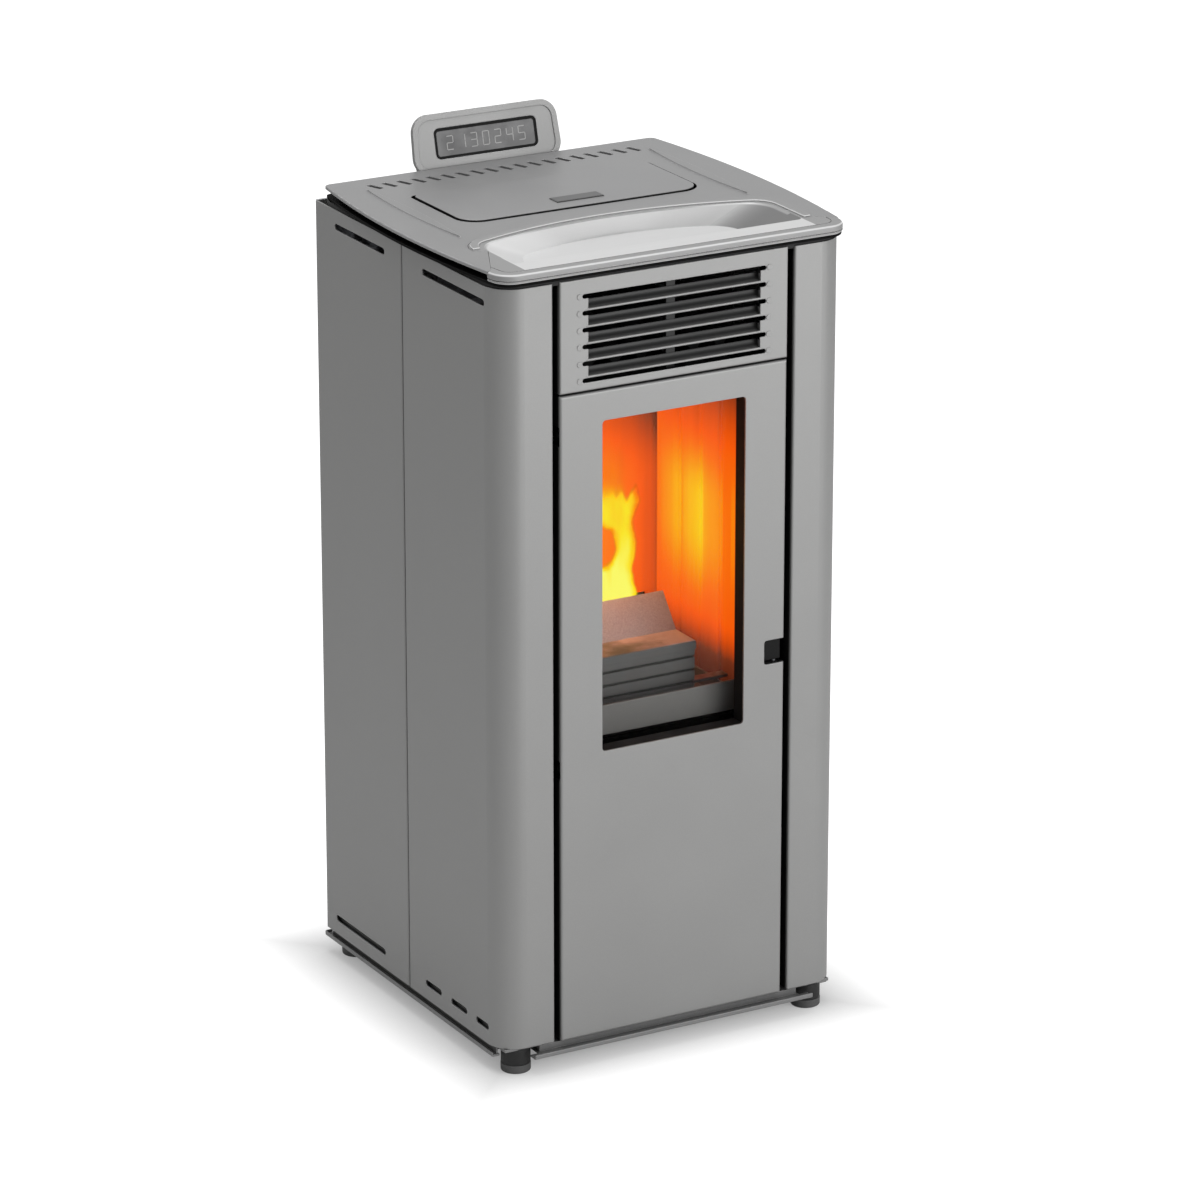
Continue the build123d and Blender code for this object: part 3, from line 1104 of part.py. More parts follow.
SPIGOT_START = 392.0  # the wider end that the flue pipe slides over
SPIGOT_END = 426.0
SPIGOT_WALL = 2.0
with BuildPart() as flue_spigot:
    rod(0, FLUE_Z, FLUE_R + 4, (345, 347))
    rod(0, FLUE_Z, FLUE_R - 1, (345, SPIGOT_END))
    rod(0, FLUE_Z, FLUE_R, (SPIGOT_START, SPIGOT_END))
    rod(0, FLUE_Z, FLUE_R - 1 - SPIGOT_WALL, (344, SPIGOT_END), mode=Mode.SUBTRACT)
    rod(0, FLUE_Z, FLUE_R - SPIGOT_WALL, (SPIGOT_START + SPIGOT_WALL, SPIGOT_END + 1), mode=Mode.SUBTRACT)
    fillet(flue_spigot.edges().group_by(Axis.Y)[-1], 0.8)
keep(flue_spigot, "flue_spigot")

# ---------------------------------------------------------------- combustion air and igniter
PIPE_WALL = 1.5
PIPE_END = 412.0
with BuildPart() as air_intake_pipe:
    rod(INTAKE_X, INTAKE_Z, INTAKE_R - 0.4, (HOLDER_BACK, PIPE_END))
    rod(INTAKE_X, INTAKE_Z, INTAKE_R, (SPIGOT_START, PIPE_END))
    rod(INTAKE_X, INTAKE_Z, INTAKE_R - 0.4 - PIPE_WALL, (HOLDER_BACK - 1, PIPE_END + 1), mode=Mode.SUBTRACT)
keep(air_intake_pipe, "air_intake_pipe")

with BuildPart() as igniter:
    rod(IGNITER_X, IGNITER_Z, IGNITER_R, (197.5, 290))
    rod(IGNITER_X, IGNITER_Z, IGNITER_R + 4, (FIREBOX_BACK, 244))
keep(igniter, "igniter")

# ---------------------------------------------------------------- convection blower
BLOWER_HALF = 86.0
BLOWER_DEPTH = (66.0, 154.0)
BLOWER_Z = (62.0, 180.0)
with BuildPart() as convection_housing:
    block((-BLOWER_HALF, BLOWER_HALF), BLOWER_DEPTH, BLOWER_Z)
    block((-BLOWER_HALF + 2, BLOWER_HALF - 2), (68, 152), (64, 178), mode=Mode.SUBTRACT)
    block((-BLOWER_HALF + 2, BLOWER_HALF - 2), (65, 69), (72, 112), mode=Mode.SUBTRACT)
    block((-BLOWER_HALF + 2, BLOWER_HALF - 2), (112, 152), (177, 181), mode=Mode.SUBTRACT)
    for side in (-1, 1):
        leg_x = sorted((side * BLOWER_HALF, side * (BLOWER_HALF - 2)))
        block(leg_x, (70, 150), (BASE_TOP, BLOWER_Z[0]))
        cross_rod(ROTOR_DEPTH, ROTOR_Z, FAN_SHAFT_R + RUNNING_GAP, leg_x, mode=Mode.SUBTRACT)
keep(convection_housing, "convection_housing")

ROTOR_BLADES = 18
with BuildPart() as convection_rotor:
    for side in (-1, 1):
        cross_rod(ROTOR_DEPTH, ROTOR_Z, ROTOR_R, sorted((side * ROTOR_HALF, side * (ROTOR_HALF - 3))))
    with BuildSketch(Plane.YZ.offset(-ROTOR_HALF + 3)):
        with Locations((behind(ROTOR_DEPTH), ROTOR_Z)):
            with PolarLocations(ROTOR_R - 3.5, ROTOR_BLADES):
                Rectangle(6, 1.2, rotation=35)
    extrude(amount=2 * ROTOR_HALF - 6)
    cross_rod(ROTOR_DEPTH, ROTOR_Z, FAN_SHAFT_R, (-96, 92))
keep(convection_rotor, "convection_rotor")

with BuildPart() as convection_motor:
    cross_rod(ROTOR_DEPTH, ROTOR_Z, 27, (-128, -BLOWER_HALF))
    cross_rod(ROTOR_DEPTH, ROTOR_Z, FAN_SHAFT_R + RUNNING_GAP, (-97, -BLOWER_HALF + 1), mode=Mode.SUBTRACT)
keep(convection_motor, "convection_motor")

# ---------------------------------------------------------------- electrics
with BuildPart() as control_board_box:
    block((150, 188), (215, 336), (250, 420))
    fillet(control_board_box.edges().filter_by(Axis.Z), 3)
keep(control_board_box, "control_board_box")

with BuildPart() as pressure_switch:
    cross_rod(300, 300, 18, (-170, -150))
    cross_rod(300, 300, 3, (-150, -138))
    block((-172, -170), (290, 336), (288, 312))
keep(pressure_switch, "pressure_switch")

ROCKER_Z = 102.0
ROCKER_DEPTH = 384.0
ROCKER_R = 9.0
with BuildPart() as power_inlet:
    block((INLET_X - 15, INLET_X + 15), (366, rear_face), (INLET_Z - 24, INLET_Z + 24))
    block((INLET_X - 18, INLET_X + 18), (rear_face, rear_face + 2), (INLET_Z - 27, INLET_Z + 27))
    socket_z = (INLET_Z - 21, INLET_Z - 4)
    block((INLET_X - 11, INLET_X + 11), (373, rear_face + 3), socket_z, mode=Mode.SUBTRACT)
    for pin_x in (-6, 0, 6):
        block((INLET_X + pin_x - 1, INLET_X + pin_x + 1), (373, 387), (INLET_Z - 14, INLET_Z - 11))
    rocker_bay = (INLET_X - 11, INLET_X + 11)
    cross_rod(ROCKER_DEPTH, ROCKER_Z, ROCKER_R + 0.4, rocker_bay, mode=Mode.SUBTRACT)
    bay_z = (ROCKER_Z - ROCKER_R - 0.4, ROCKER_Z + ROCKER_R + 0.4)
    block(rocker_bay, (ROCKER_DEPTH, rear_face + 3), bay_z, mode=Mode.SUBTRACT)
keep(power_inlet, "power_inlet")

with BuildPart() as power_switch:
    cross_rod(ROCKER_DEPTH, ROCKER_Z, ROCKER_R, (INLET_X - 10.6, INLET_X + 10.6))
    rocker_face = Plane(origin=(INLET_X, behind(ROCKER_DEPTH + 8.5), ROCKER_Z), z_dir=(0, 1, 0))
    for tilt in (-8, 8):
        with BuildSketch(rocker_face.rotated((tilt, 0, 0))):
            Rectangle(40, 40)
        extrude(amount=12, mode=Mode.SUBTRACT)
keep(power_switch, "power_switch")
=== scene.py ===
"""Looks of a free-standing pellet stove: its finishes, rope seals, fire, display and studio."""
import logging
import math
from dataclasses import dataclass, field
from enum import Enum
from typing import Callable, Dict, List, Sequence, Tuple

import bmesh
import bpy
from bmesh.types import BMEdge, BMesh, BMVert
from bpy.types import Material, Node, NodeOutputs, NodeSocket, NodeTree, Object
from mathutils import Matrix, Vector


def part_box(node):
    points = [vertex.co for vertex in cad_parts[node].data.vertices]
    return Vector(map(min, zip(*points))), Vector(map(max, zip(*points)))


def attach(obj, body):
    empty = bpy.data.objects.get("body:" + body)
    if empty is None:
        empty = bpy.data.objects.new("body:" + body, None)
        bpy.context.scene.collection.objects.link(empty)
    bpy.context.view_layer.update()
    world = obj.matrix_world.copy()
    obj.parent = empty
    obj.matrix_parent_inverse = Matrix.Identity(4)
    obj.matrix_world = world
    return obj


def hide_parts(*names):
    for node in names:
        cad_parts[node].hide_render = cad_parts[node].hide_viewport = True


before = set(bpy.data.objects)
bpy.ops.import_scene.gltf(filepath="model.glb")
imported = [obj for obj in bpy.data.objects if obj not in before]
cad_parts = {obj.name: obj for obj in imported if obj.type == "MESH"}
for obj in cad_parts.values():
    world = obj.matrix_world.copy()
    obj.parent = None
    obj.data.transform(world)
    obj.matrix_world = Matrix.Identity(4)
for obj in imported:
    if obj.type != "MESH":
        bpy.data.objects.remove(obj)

Colour = Tuple[float, float, float]
Point = Tuple[float, float, float]
LOG = logging.getLogger("stove")
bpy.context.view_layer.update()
FRONT_Y = -0.209  # the door's outer face
BEVEL_SAMPLES = 4
# ambient occlusion for the painted shade in crevices
CREVICE_SAMPLES = 6
CREVICE_REACH = 0.010
DEEP_SHARE = 0.97  # how much of a recess's colour the painted shade takes at its back


def behind(depth: float) -> float:
    """The Y of a point that many metres behind the door's outer face."""
    return FRONT_Y + depth


def grey(level: float) -> Colour:
    """A neutral colour."""
    return (level, level, level)


def in_linear(*screen: int) -> Colour:
    """Turn a screen colour, each part 0 to 255, into the linear colour that a shader takes."""
    shares = (part / 255 for part in screen)
    return tuple(s / 12.92 if s <= 0.0405 else ((s + 0.055) / 1.055) ** 2.4 for s in shares)


SHADE_BLACK = grey(0.004)  # painted shade: the near-black of a gap or groove that light hardly reaches, and of the painted shadow along the lid's edges
DEEP_SHADE = grey(0.003)  # painted shade at the back of a recess or gap


class Graph:
    """Builds the nodes of one material, world or shader node group."""

    def __init__(self, tree: NodeTree) -> None:
        """Start on an empty tree."""
        self.tree = tree
        tree.nodes.clear()

    def add(self, kind: str, **settings: object) -> Node:
        """Add a node.

        Args:
            kind: the node's type name after ShaderNode.
            settings: properties of the node.

        Returns:
            The new node.
        """
        node = self.tree.nodes.new("ShaderNode" + kind)
        for name, value in settings.items():
            setattr(node, name, value)
        return node

    def feed(self, socket: NodeSocket, value: object) -> None:
        """Link an output to a socket, or set the socket's own value.

        Args:
            socket: the input socket.
            value: an output socket, a number or a colour.
        """
        if isinstance(value, NodeSocket):
            self.tree.links.new(value, socket)
        elif socket.type == "RGBA" and len(value) == 3:
            socket.default_value = (*value, 1.0)
        else:
            socket.default_value = value

    def fill(self, node: Node, **values: object) -> Node:
        """Feed a node's inputs by name.

        Args:
            node: the node.
            values: what each input gets, with _ for a space in its name.

        Returns:
            The same node.
        """
        for name, value in values.items():
            self.feed(node.inputs[name.replace("_", " ")], value)
        return node

    def calc(self, operation: str, *values: object) -> NodeSocket:
        """Work out a number from one, two or three others.

        Args:
            operation: the Math node's operation.
            values: outputs or numbers.

        Returns:
            The result's socket.
        """
        node = self.add("Math", operation=operation)
        for socket, value in zip(node.inputs, values):
            self.feed(socket, value)
        return node.outputs[0]

    def times(self, first: object, *others: object) -> NodeSocket:
        """Multiply numbers.

        Args:
            first, others: outputs or numbers.

        Returns:
            The product's socket.
        """
        for other in others:
            first = self.calc("MULTIPLY", first, other)
        return first

    def plus(self, a: object, b: object) -> NodeSocket:
        """Add two numbers."""
        return self.calc("ADD", a, b)

    def minus(self, a: object, b: object) -> NodeSocket:
        """Take one number from another."""
        return self.calc("SUBTRACT", a, b)

    def line(self, value: object, slope: object, start: object) -> NodeSocket:
        """Multiply a number by a slope and add a start."""
        return self.calc("MULTIPLY_ADD", value, slope, start)

    def size(self, value: object) -> NodeSocket:
        """Drop a number's sign."""
        return self.calc("ABSOLUTE", value)

    def larger(self, a: object, b: object) -> NodeSocket:
        """The larger of two numbers."""
        return self.calc("MAXIMUM", a, b)

    def above(self, value: object, limit: float) -> NodeSocket:
        """1 where a number is over a limit, or else 0."""
        return self.calc("GREATER_THAN", value, limit)

    def below(self, value: object, limit: float) -> NodeSocket:
        """1 where a number is under a limit, or else 0."""
        return self.calc("LESS_THAN", value, limit)

    def span(
        self, value: object, low: object, high: object, to_low: float = 0.0, to_high: object = 1.0
    ) -> NodeSocket:
        """Map a number smoothly from one range to another, and hold it at the ends.

        Args:
            value: the number.
            low, high: the range it comes from.
            to_low, to_high: the range it goes to.

        Returns:
            The mapped number's socket.
        """
        node = self.add("MapRange", interpolation_type="SMOOTHSTEP")
        self.fill(node, Value=value, From_Min=low, From_Max=high, To_Min=to_low, To_Max=to_high)
        return node.outputs["Result"]

    def fade(self, value: object, low: float, high: float, start: float = 1.0) -> NodeSocket:
        """Fall smoothly from a start to 0 over a range."""
        return self.span(value, low, high, start, 0.0)

    def blend(self, factor: object, a: object, b: object) -> NodeSocket:
        """Mix two colours.

        Args:
            factor: how much of the second colour.
            a, b: the colours.

        Returns:
            The mixed colour's socket.
        """
        node = self.add("Mix", data_type="RGBA")
        for index, value in ((0, factor), (6, a), (7, b)):
            self.feed(node.inputs[index], value)
        return node.outputs[2]

    def scale_colour(self, colour: object, factor: object) -> NodeSocket:
        """Multiply a colour by a number."""
        node = self.add("VectorMath", operation="SCALE")
        self.feed(node.inputs[0], colour)
        return self.fill(node, Scale=factor).outputs[0]

    def ramp(self, factor: object, stops: Sequence[Tuple[float, Colour]]) -> NodeSocket:
        """Look a number up in a band of colours.

        Args:
            factor: the number, 0 to 1.
            stops: each stop's place and colour.

        Returns:
            The colour's socket.
        """
        node = self.add("ValToRGB")
        elements = node.color_ramp.elements
        while len(elements) < len(stops):
            elements.new(0.5)
        for element, (place, colour) in zip(elements, stops):
            element.position = place
            element.color = (*colour, 1.0)
        self.feed(node.inputs[0], factor)
        return node.outputs[0]

    def noise(
        self, vector: object, scale: float, detail: float = 2.0, roughness: float = 0.5
    ) -> NodeSocket:
        """Sample smooth noise.

        Args:
            vector: where to sample.
            scale: how many blobs to a metre.
            detail, roughness: the noise's own settings.

        Returns:
            The noise value's socket, near 0.5.
        """
        node = self.add("TexNoise")
        self.fill(node, Vector=vector, Scale=scale, Detail=detail, Roughness=roughness)
        return node.outputs["Fac"]

    def sway(
        self, vector: object, scale: float, detail: float = 2.0, roughness: float = 0.5
    ) -> NodeSocket:
        """Sample the same noise, moved so that it lies round 0."""
        return self.minus(self.noise(vector, scale, detail, roughness), 0.5)

    def place(self, vector: object, scale: Point, move: Point = (0, 0, 0)) -> NodeSocket:
        """Stretch and move the coordinates of a pattern."""
        return self.fill(self.add("Mapping"), Vector=vector, Scale=scale, Location=move).outputs[0]

    def object_point(self) -> NodeSocket:
        """The point on the piece, in metres in the stove's frame."""
        return self.add("TexCoord").outputs["Object"]

    def facing(self) -> NodeSocket:
        """Which way the surface faces, in the piece's own frame."""
        return self.add("TexCoord").outputs["Normal"]

    def on_map(self, layer: str) -> NodeSocket:
        """The point on one of the piece's UV maps."""
        return self.add("UVMap", uv_map=layer).outputs[0]

    def split(self, vector: object) -> Tuple[NodeSocket, NodeSocket, NodeSocket]:
        """Take a vector apart into X, Y and Z."""
        return tuple(self.fill(self.add("SeparateXYZ"), Vector=vector).outputs)

    def principled(self, **values: object) -> Node:
        """Add a Principled shader and feed its inputs."""
        return self.fill(self.add("BsdfPrincipled"), **values)

    def either(self, factor: object, first: Node, second: Node) -> Node:
        """Mix two shaders.

        Args:
            factor: how much of the second shader.
            first, second: the shader nodes.

        Returns:
            The mixing node.
        """
        mix = self.add("MixShader")
        for socket, value in zip(mix.inputs, (factor, first.outputs[0], second.outputs[0])):
            self.feed(socket, value)
        return mix

    def seen(self) -> Tuple[NodeOutputs, NodeSocket]:
        """The kinds of ray, and 1 where the ray comes straight or through glass from the camera."""
        rays = self.add("LightPath").outputs
        return rays, self.larger(rays["Is Camera Ray"], rays["Is Transmission Ray"])

    def relief(
        self, shader: Node, height: object, depth: float, radius: float, strength: float = 0.5
    ) -> Node:
        """Give a shader a fine relief and softly rounded edges.

        Args:
            shader: the Principled shader.
            height: the relief's height, 0 to 1.
            depth: the relief's depth in metres.
            radius: how wide the edges are rounded, in metres, or 0.
            strength: how strongly the relief shows.

        Returns:
            The same shader.
        """
        bump = self.fill(self.add("Bump"), Strength=strength, Distance=depth, Height=height)
        if radius:
            soft = self.fill(self.add("Bevel", samples=BEVEL_SAMPLES), Radius=radius)
            self.fill(bump, Normal=soft.outputs[0])
        return self.fill(shader, Normal=bump.outputs[0])


class Effect(Enum):
    """The shared surface effects, each a shader node group."""

    PAINT = "paint_skin"
    # lighter edges: partly wear, partly a painted highlight
    WEAR = "edge_wear"
    GRAIN = "brushed_grain"
    CAST = "cast_skin"
    SPANGLE = "zinc_spangle"
    DUST = "fine_dust"
    # painted shade in gaps and grooves
    CREVICE = "shut_crevice"
    # painted firelight, which the linings emit
    GLOW = "fire_glow"


class Effects:
    """The node groups that several finishes share, each built once."""

    SKIN = ("Color", "Roughness", "Height")
    MASK = ("Mask",)

    def __init__(self) -> None:
        """Start with no group built."""
        self.built: Dict[Effect, NodeTree] = {}
        self.makers: Dict[Effect, Callable[[], NodeTree]] = {
            Effect.PAINT: self._paint,
            Effect.WEAR: self._wear,
            Effect.GRAIN: self._grain,
            Effect.CAST: self._cast,
            Effect.SPANGLE: self._spangle,
            Effect.DUST: self._dust,
            Effect.CREVICE: self._crevice,
            Effect.GLOW: self._glow,
        }

    def use(self, graph: Graph, effect: Effect, **inputs: object) -> NodeOutputs:
        """Place an effect in a material.

        Args:
            graph: the material's graph.
            effect: which effect.
            inputs: the group's inputs, with _ for a space.

        Returns:
            The group node's outputs.
        """
        if effect not in self.built:
            self.built[effect] = self.makers[effect]()
        return graph.fill(graph.add("Group", node_tree=self.built[effect]), **inputs).outputs

    def mask(self, graph: Graph, effect: Effect, **inputs: object) -> NodeSocket:
        """Place an effect that says only where it applies."""
        return self.use(graph, effect, **inputs)["Mask"]

    @staticmethod
    def _start(
        effect: Effect, outputs: Sequence[str], **inputs: object
    ) -> Tuple[Graph, NodeOutputs, Node]:
        """Make a group with its sockets.

        Args:
            effect: the effect, which names the group.
            outputs: the outputs' names, where Color is a colour and the rest are numbers.
            inputs: each input's default, a colour or a number, with _ for a space.

        Returns:
            The group's graph, what it is given and its output node.
        """
        tree = bpy.data.node_groups.new(effect.value, "ShaderNodeTree")
        kinds = {True: "NodeSocketColor", False: "NodeSocketFloat"}
        for name, default in inputs.items():
            coloured = isinstance(default, tuple)
            socket = tree.interface.new_socket(
                name=name.replace("_", " "), in_out="INPUT", socket_type=kinds[coloured]
            )
            socket.default_value = (*default, 1.0) if coloured else default
        for name in outputs:
            tree.interface.new_socket(
                name=name, in_out="OUTPUT", socket_type=kinds[name == "Color"]
            )
        graph = Graph(tree)
        given = tree.nodes.new("NodeGroupInput").outputs
        return graph, given, tree.nodes.new("NodeGroupOutput")

    def _paint(self) -> NodeTree:
        """Sprayed paint: fine metal flake, faint clouds and orange peel."""
        graph, given, out = self._start(
            Effect.PAINT, self.SKIN, Tint=grey(0.3), Flake=0.08, Clouds=0.06, Gloss=0.4
        )
        point = graph.object_point()
        flake = graph.sway(point, scale=1400, detail=1)
        clouds = graph.sway(point, scale=9, detail=3, roughness=0.55)
        level = graph.line(flake, given["Flake"], 1.0)
        level = graph.plus(level, graph.times(clouds, given["Clouds"]))
        graph.fill(
            out,
            Color=graph.scale_colour(given["Tint"], level),
            Roughness=graph.line(clouds, 0.16, given["Gloss"]),
            Height=graph.noise(point, scale=420),
        )
        return graph.tree

    def _wear(self) -> NodeTree:
        """Where a sharp edge would catch the light, lighter in patches: partly wear, partly a
        painted highlight, from where the rounded normal leaves the face's own.
        """
        graph, given, out = self._start(Effect.WEAR, self.MASK, Radius=0.0008, Amount=1.0)
        soft = graph.fill(graph.add("Bevel", samples=BEVEL_SAMPLES), Radius=given["Radius"])
        match = graph.add("VectorMath", operation="DOT_PRODUCT")
        graph.feed(match.inputs[0], soft.outputs[0])
        graph.feed(match.inputs[1], graph.add("NewGeometry").outputs["Normal"])
        bend = graph.minus(1.0, match.outputs["Value"])
        patches = graph.noise(graph.object_point(), scale=90, detail=3)
        where = graph.times(
            graph.span(bend, 0.02, 0.30), graph.span(patches, 0.25, 0.7, to_low=0.55)
        )
        clamped = graph.add("Math", operation="MULTIPLY", use_clamp=True)
        graph.feed(clamped.inputs[0], where)
        graph.feed(clamped.inputs[1], given["Amount"])
        graph.fill(out, Mask=clamped.outputs[0])
        return graph.tree

    def _grain(self) -> NodeTree:
        """Brushed metal: long fine scratches along X."""
        graph, given, out = self._start(
            Effect.GRAIN, self.SKIN, Tint=grey(0.6), Gloss=0.3, Depth=0.12
        )
        along = graph.place(graph.object_point(), scale=(14, 900, 900))
        scratch = graph.noise(along, scale=1.0, detail=3, roughness=0.6)
        level = graph.line(graph.minus(scratch, 0.5), given["Depth"], 1.0)
        graph.fill(
            out,
            Color=graph.scale_colour(given["Tint"], level),
            Roughness=graph.line(scratch, 0.14, given["Gloss"]),
            Height=scratch,
        )
        return graph.tree

    def _cast(self) -> NodeTree:
        """Cast metal: a pitted, sandy skin with soft stains."""
        graph, given, out = self._start(
            Effect.CAST, self.SKIN, Tint=grey(0.1), Stain=(0.2, 0.12, 0.08)
        )
        point = graph.object_point()
        sand = graph.noise(point, scale=700, detail=3, roughness=0.6)
        stain = graph.span(graph.noise(point, scale=22, detail=4, roughness=0.6), 0.45, 0.75)
        colour = graph.blend(graph.times(stain, 0.5), given["Tint"], given["Stain"])
        low, high = 0.3, 0.7
        graph.fill(
            out,
            Color=graph.scale_colour(colour, graph.span(sand, low, high, 0.8, 1.15)),
            Roughness=graph.span(sand, low, high, 0.6, 0.8),
            Height=sand,
        )
        return graph.tree

    def _spangle(self) -> NodeTree:
        """Zinc coating: large faint crystals, each a little lighter or darker."""
        graph, given, out = self._start(Effect.SPANGLE, self.SKIN, Tint=grey(0.5), Size=110.0)
        point = graph.object_point()
        crystals = graph.add("TexVoronoi", feature="F1")
        graph.fill(crystals, Vector=point, Scale=given["Size"])
        shade = graph.fill(graph.add("SeparateColor"), Color=crystals.outputs["Color"]).outputs
        graph.fill(
            out,
            Color=graph.scale_colour(given["Tint"], graph.line(shade[0], 0.26, 0.86)),
            Roughness=graph.line(shade[1], 0.18, 0.30),
            Height=graph.noise(point, scale=260),
        )
        return graph.tree

    def _dust(self) -> NodeTree:
        """Where fine dust has settled: on faces that look up, in soft patches."""
        graph, given, out = self._start(Effect.DUST, self.MASK, Amount=0.2)
        upward = graph.span(graph.split(graph.facing())[2], 0.5, 0.95)
        patches = graph.noise(graph.object_point(), scale=16, detail=4, roughness=0.6)
        where = graph.times(upward, graph.span(patches, 0.35, 0.75), given["Amount"])
        graph.fill(out, Mask=where)
        return graph.tree

    def _crevice(self) -> NodeTree:
        """Painted shade where a narrow gap or groove shuts out the light, found by ambient
        occlusion.
        """
        graph, given, out = self._start(Effect.CREVICE, self.MASK, Amount=0.7)
        around = graph.add("AmbientOcclusion", samples=CREVICE_SAMPLES)
        graph.fill(around, Distance=CREVICE_REACH)
        shut = graph.fade(around.outputs["AO"], 0.25, 0.72)
        graph.fill(out, Mask=graph.times(shut, given["Amount"]))
        return graph.tree

    def _glow(self) -> NodeTree:
        """Painted firelight on the lining at a height: dark at the floor, brightest beside the
        flames.
        """
        graph, given, out = self._start(
            Effect.GLOW, ("Level", "Beside"), Fall_Start=0.585, Fall_End=0.69, Fall=-0.30
        )
        floor, flame_foot, flame_top = (0.345, 0.415), (0.40, 0.50), (0.53, 0.61)
        point = graph.object_point()
        z = graph.split(point)[2]
        fall = graph.span(z, given["Fall Start"], given["Fall End"], to_high=given["Fall"])
        level = graph.plus(graph.span(z, *floor, 0.12, 0.52), fall)
        streaks = graph.sway(graph.place(point, scale=(160, 160, 3.0)), scale=1.0)
        graph.fill(
            out,
            Level=graph.line(streaks, 0.10, level),
            Beside=graph.times(graph.span(z, *flame_foot), graph.fade(z, *flame_top)),
        )
        return graph.tree


EFFECTS = Effects()


@dataclass(frozen=True)
class Finish:
    """One procedural surface."""

    name: str

    def shade(self, graph: Graph) -> Node:
        """Build the surface's last shader node, each kind of finish in its own way."""
        raise NotImplementedError

    def material(self) -> Material:
        """Build the node material."""
        material = bpy.data.materials.new(self.name)
        material.use_nodes = True
        graph = Graph(material.node_tree)
        shader = self.shade(graph)
        graph.fill(graph.add("OutputMaterial"), Surface=shader.outputs[0])
        return material


@dataclass(frozen=True)
class SatinPaint(Finish):
    """Satin metallic paint on sheet steel, a little lighter where an edge catches: partly wear,
    partly a painted highlight.

    recess holds the depths over which painted shade darkens it, door_gap_shade the same for painted
    shade in the door's side gaps after their inner and outer X, and lid_edge_shadow the half width
    and depths of a painted shadow along the lid's edges.
    """

    tint: Colour
    metal: float = 0.35
    gloss: float = 0.42
    flake: float = 0.10
    clouds: float = 0.05
    # edges lighter partly from wear, partly as a painted highlight
    edge: float = 0.45
    edge_radius: float = 0.0009
    edge_tint: Colour = grey(0.62)
    dust: float = 0.05
    dust_tint: Colour = (0.55, 0.54, 0.52)
    shine: float = 0.5
    crevice: float = 0.7
    peel: float = 0.00006
    # painted shade: a recess, the door's side gaps, and a shadow along the lid's edges
    recess: Tuple[float, float] = (0.0, 0.0)
    door_gap_shade: Tuple[float, float, float, float] = (0.0, 0.0, 0.0, 0.0)
    lid_edge_shadow: Tuple[float, float, float] = (0.0, 0.0, 0.0)

    @staticmethod
    def deepening(graph: Graph, y: NodeSocket, start: float, end: float) -> NodeSocket:
        """How much painted shade a point takes, from how far it has sunk from one depth behind the
        door's face to another.
        """
        return graph.span(y, behind(start), behind(end), to_high=DEEP_SHARE)

    def paint_shade(self, graph: Graph, colour: object) -> NodeSocket:
        """Paint shade into crevices, recesses and the door's side gaps, and a painted shadow along
        the lid's edges.

        Args:
            graph: the material's graph.
            colour: the paint's colour.

        Returns:
            The darker colour's socket.
        """
        # painted shade in crevices
        shut = EFFECTS.mask(graph, Effect.CREVICE, Amount=self.crevice)
        colour = graph.blend(shut, colour, SHADE_BLACK)
        x, y, _ = graph.split(graph.object_point())
        side = graph.size(x)
        # painted shade deeper in a recess
        if any(self.recess):
            colour = graph.blend(self.deepening(graph, y, *self.recess), colour, DEEP_SHADE)
        # painted shade in the door's side gaps
        if any(self.door_gap_shade):
            inner, outer, start, end = self.door_gap_shade
            between = graph.times(graph.above(side, inner), graph.below(side, outer))
            deep = graph.times(self.deepening(graph, y, start, end), between)
            colour = graph.blend(deep, colour, DEEP_SHADE)
        # painted shadow along the lid's edges
        if any(self.lid_edge_shadow):
            half, front, back = self.lid_edge_shadow
            middle, reach = behind((front + back) / 2), (back - front) / 2
            upright = graph.fade(graph.size(graph.split(graph.facing())[2]), 0.25, 0.7)
            level = graph.below(graph.size(graph.minus(y, middle)), reach)
            edge_shadow = graph.times(upright, graph.below(side, half), level)
            colour = graph.blend(edge_shadow, colour, SHADE_BLACK)
        return colour

    def shade(self, graph: Graph) -> Node:
        """Build the paint, its edges lighter from wear and a painted highlight, its dust and its
        painted shade.
        """
        skin = EFFECTS.use(
            graph,
            Effect.PAINT,
            Tint=self.tint,
            Flake=self.flake,
            Clouds=self.clouds,
            Gloss=self.gloss,
        )
        wear_and_highlight = EFFECTS.mask(graph, Effect.WEAR, Radius=self.edge_radius, Amount=self.edge)
        dust = EFFECTS.mask(graph, Effect.DUST, Amount=self.dust)
        colour = graph.blend(wear_and_highlight, skin["Color"], self.edge_tint)
        shader = graph.principled(
            Base_Color=self.paint_shade(graph, graph.blend(dust, colour, self.dust_tint)),
            Roughness=graph.line(dust, 0.3, skin["Roughness"]),
            Metallic=self.metal,
            Specular_IOR_Level=self.shine,
        )
        return graph.relief(shader, skin["Height"], self.peel, self.edge_radius)


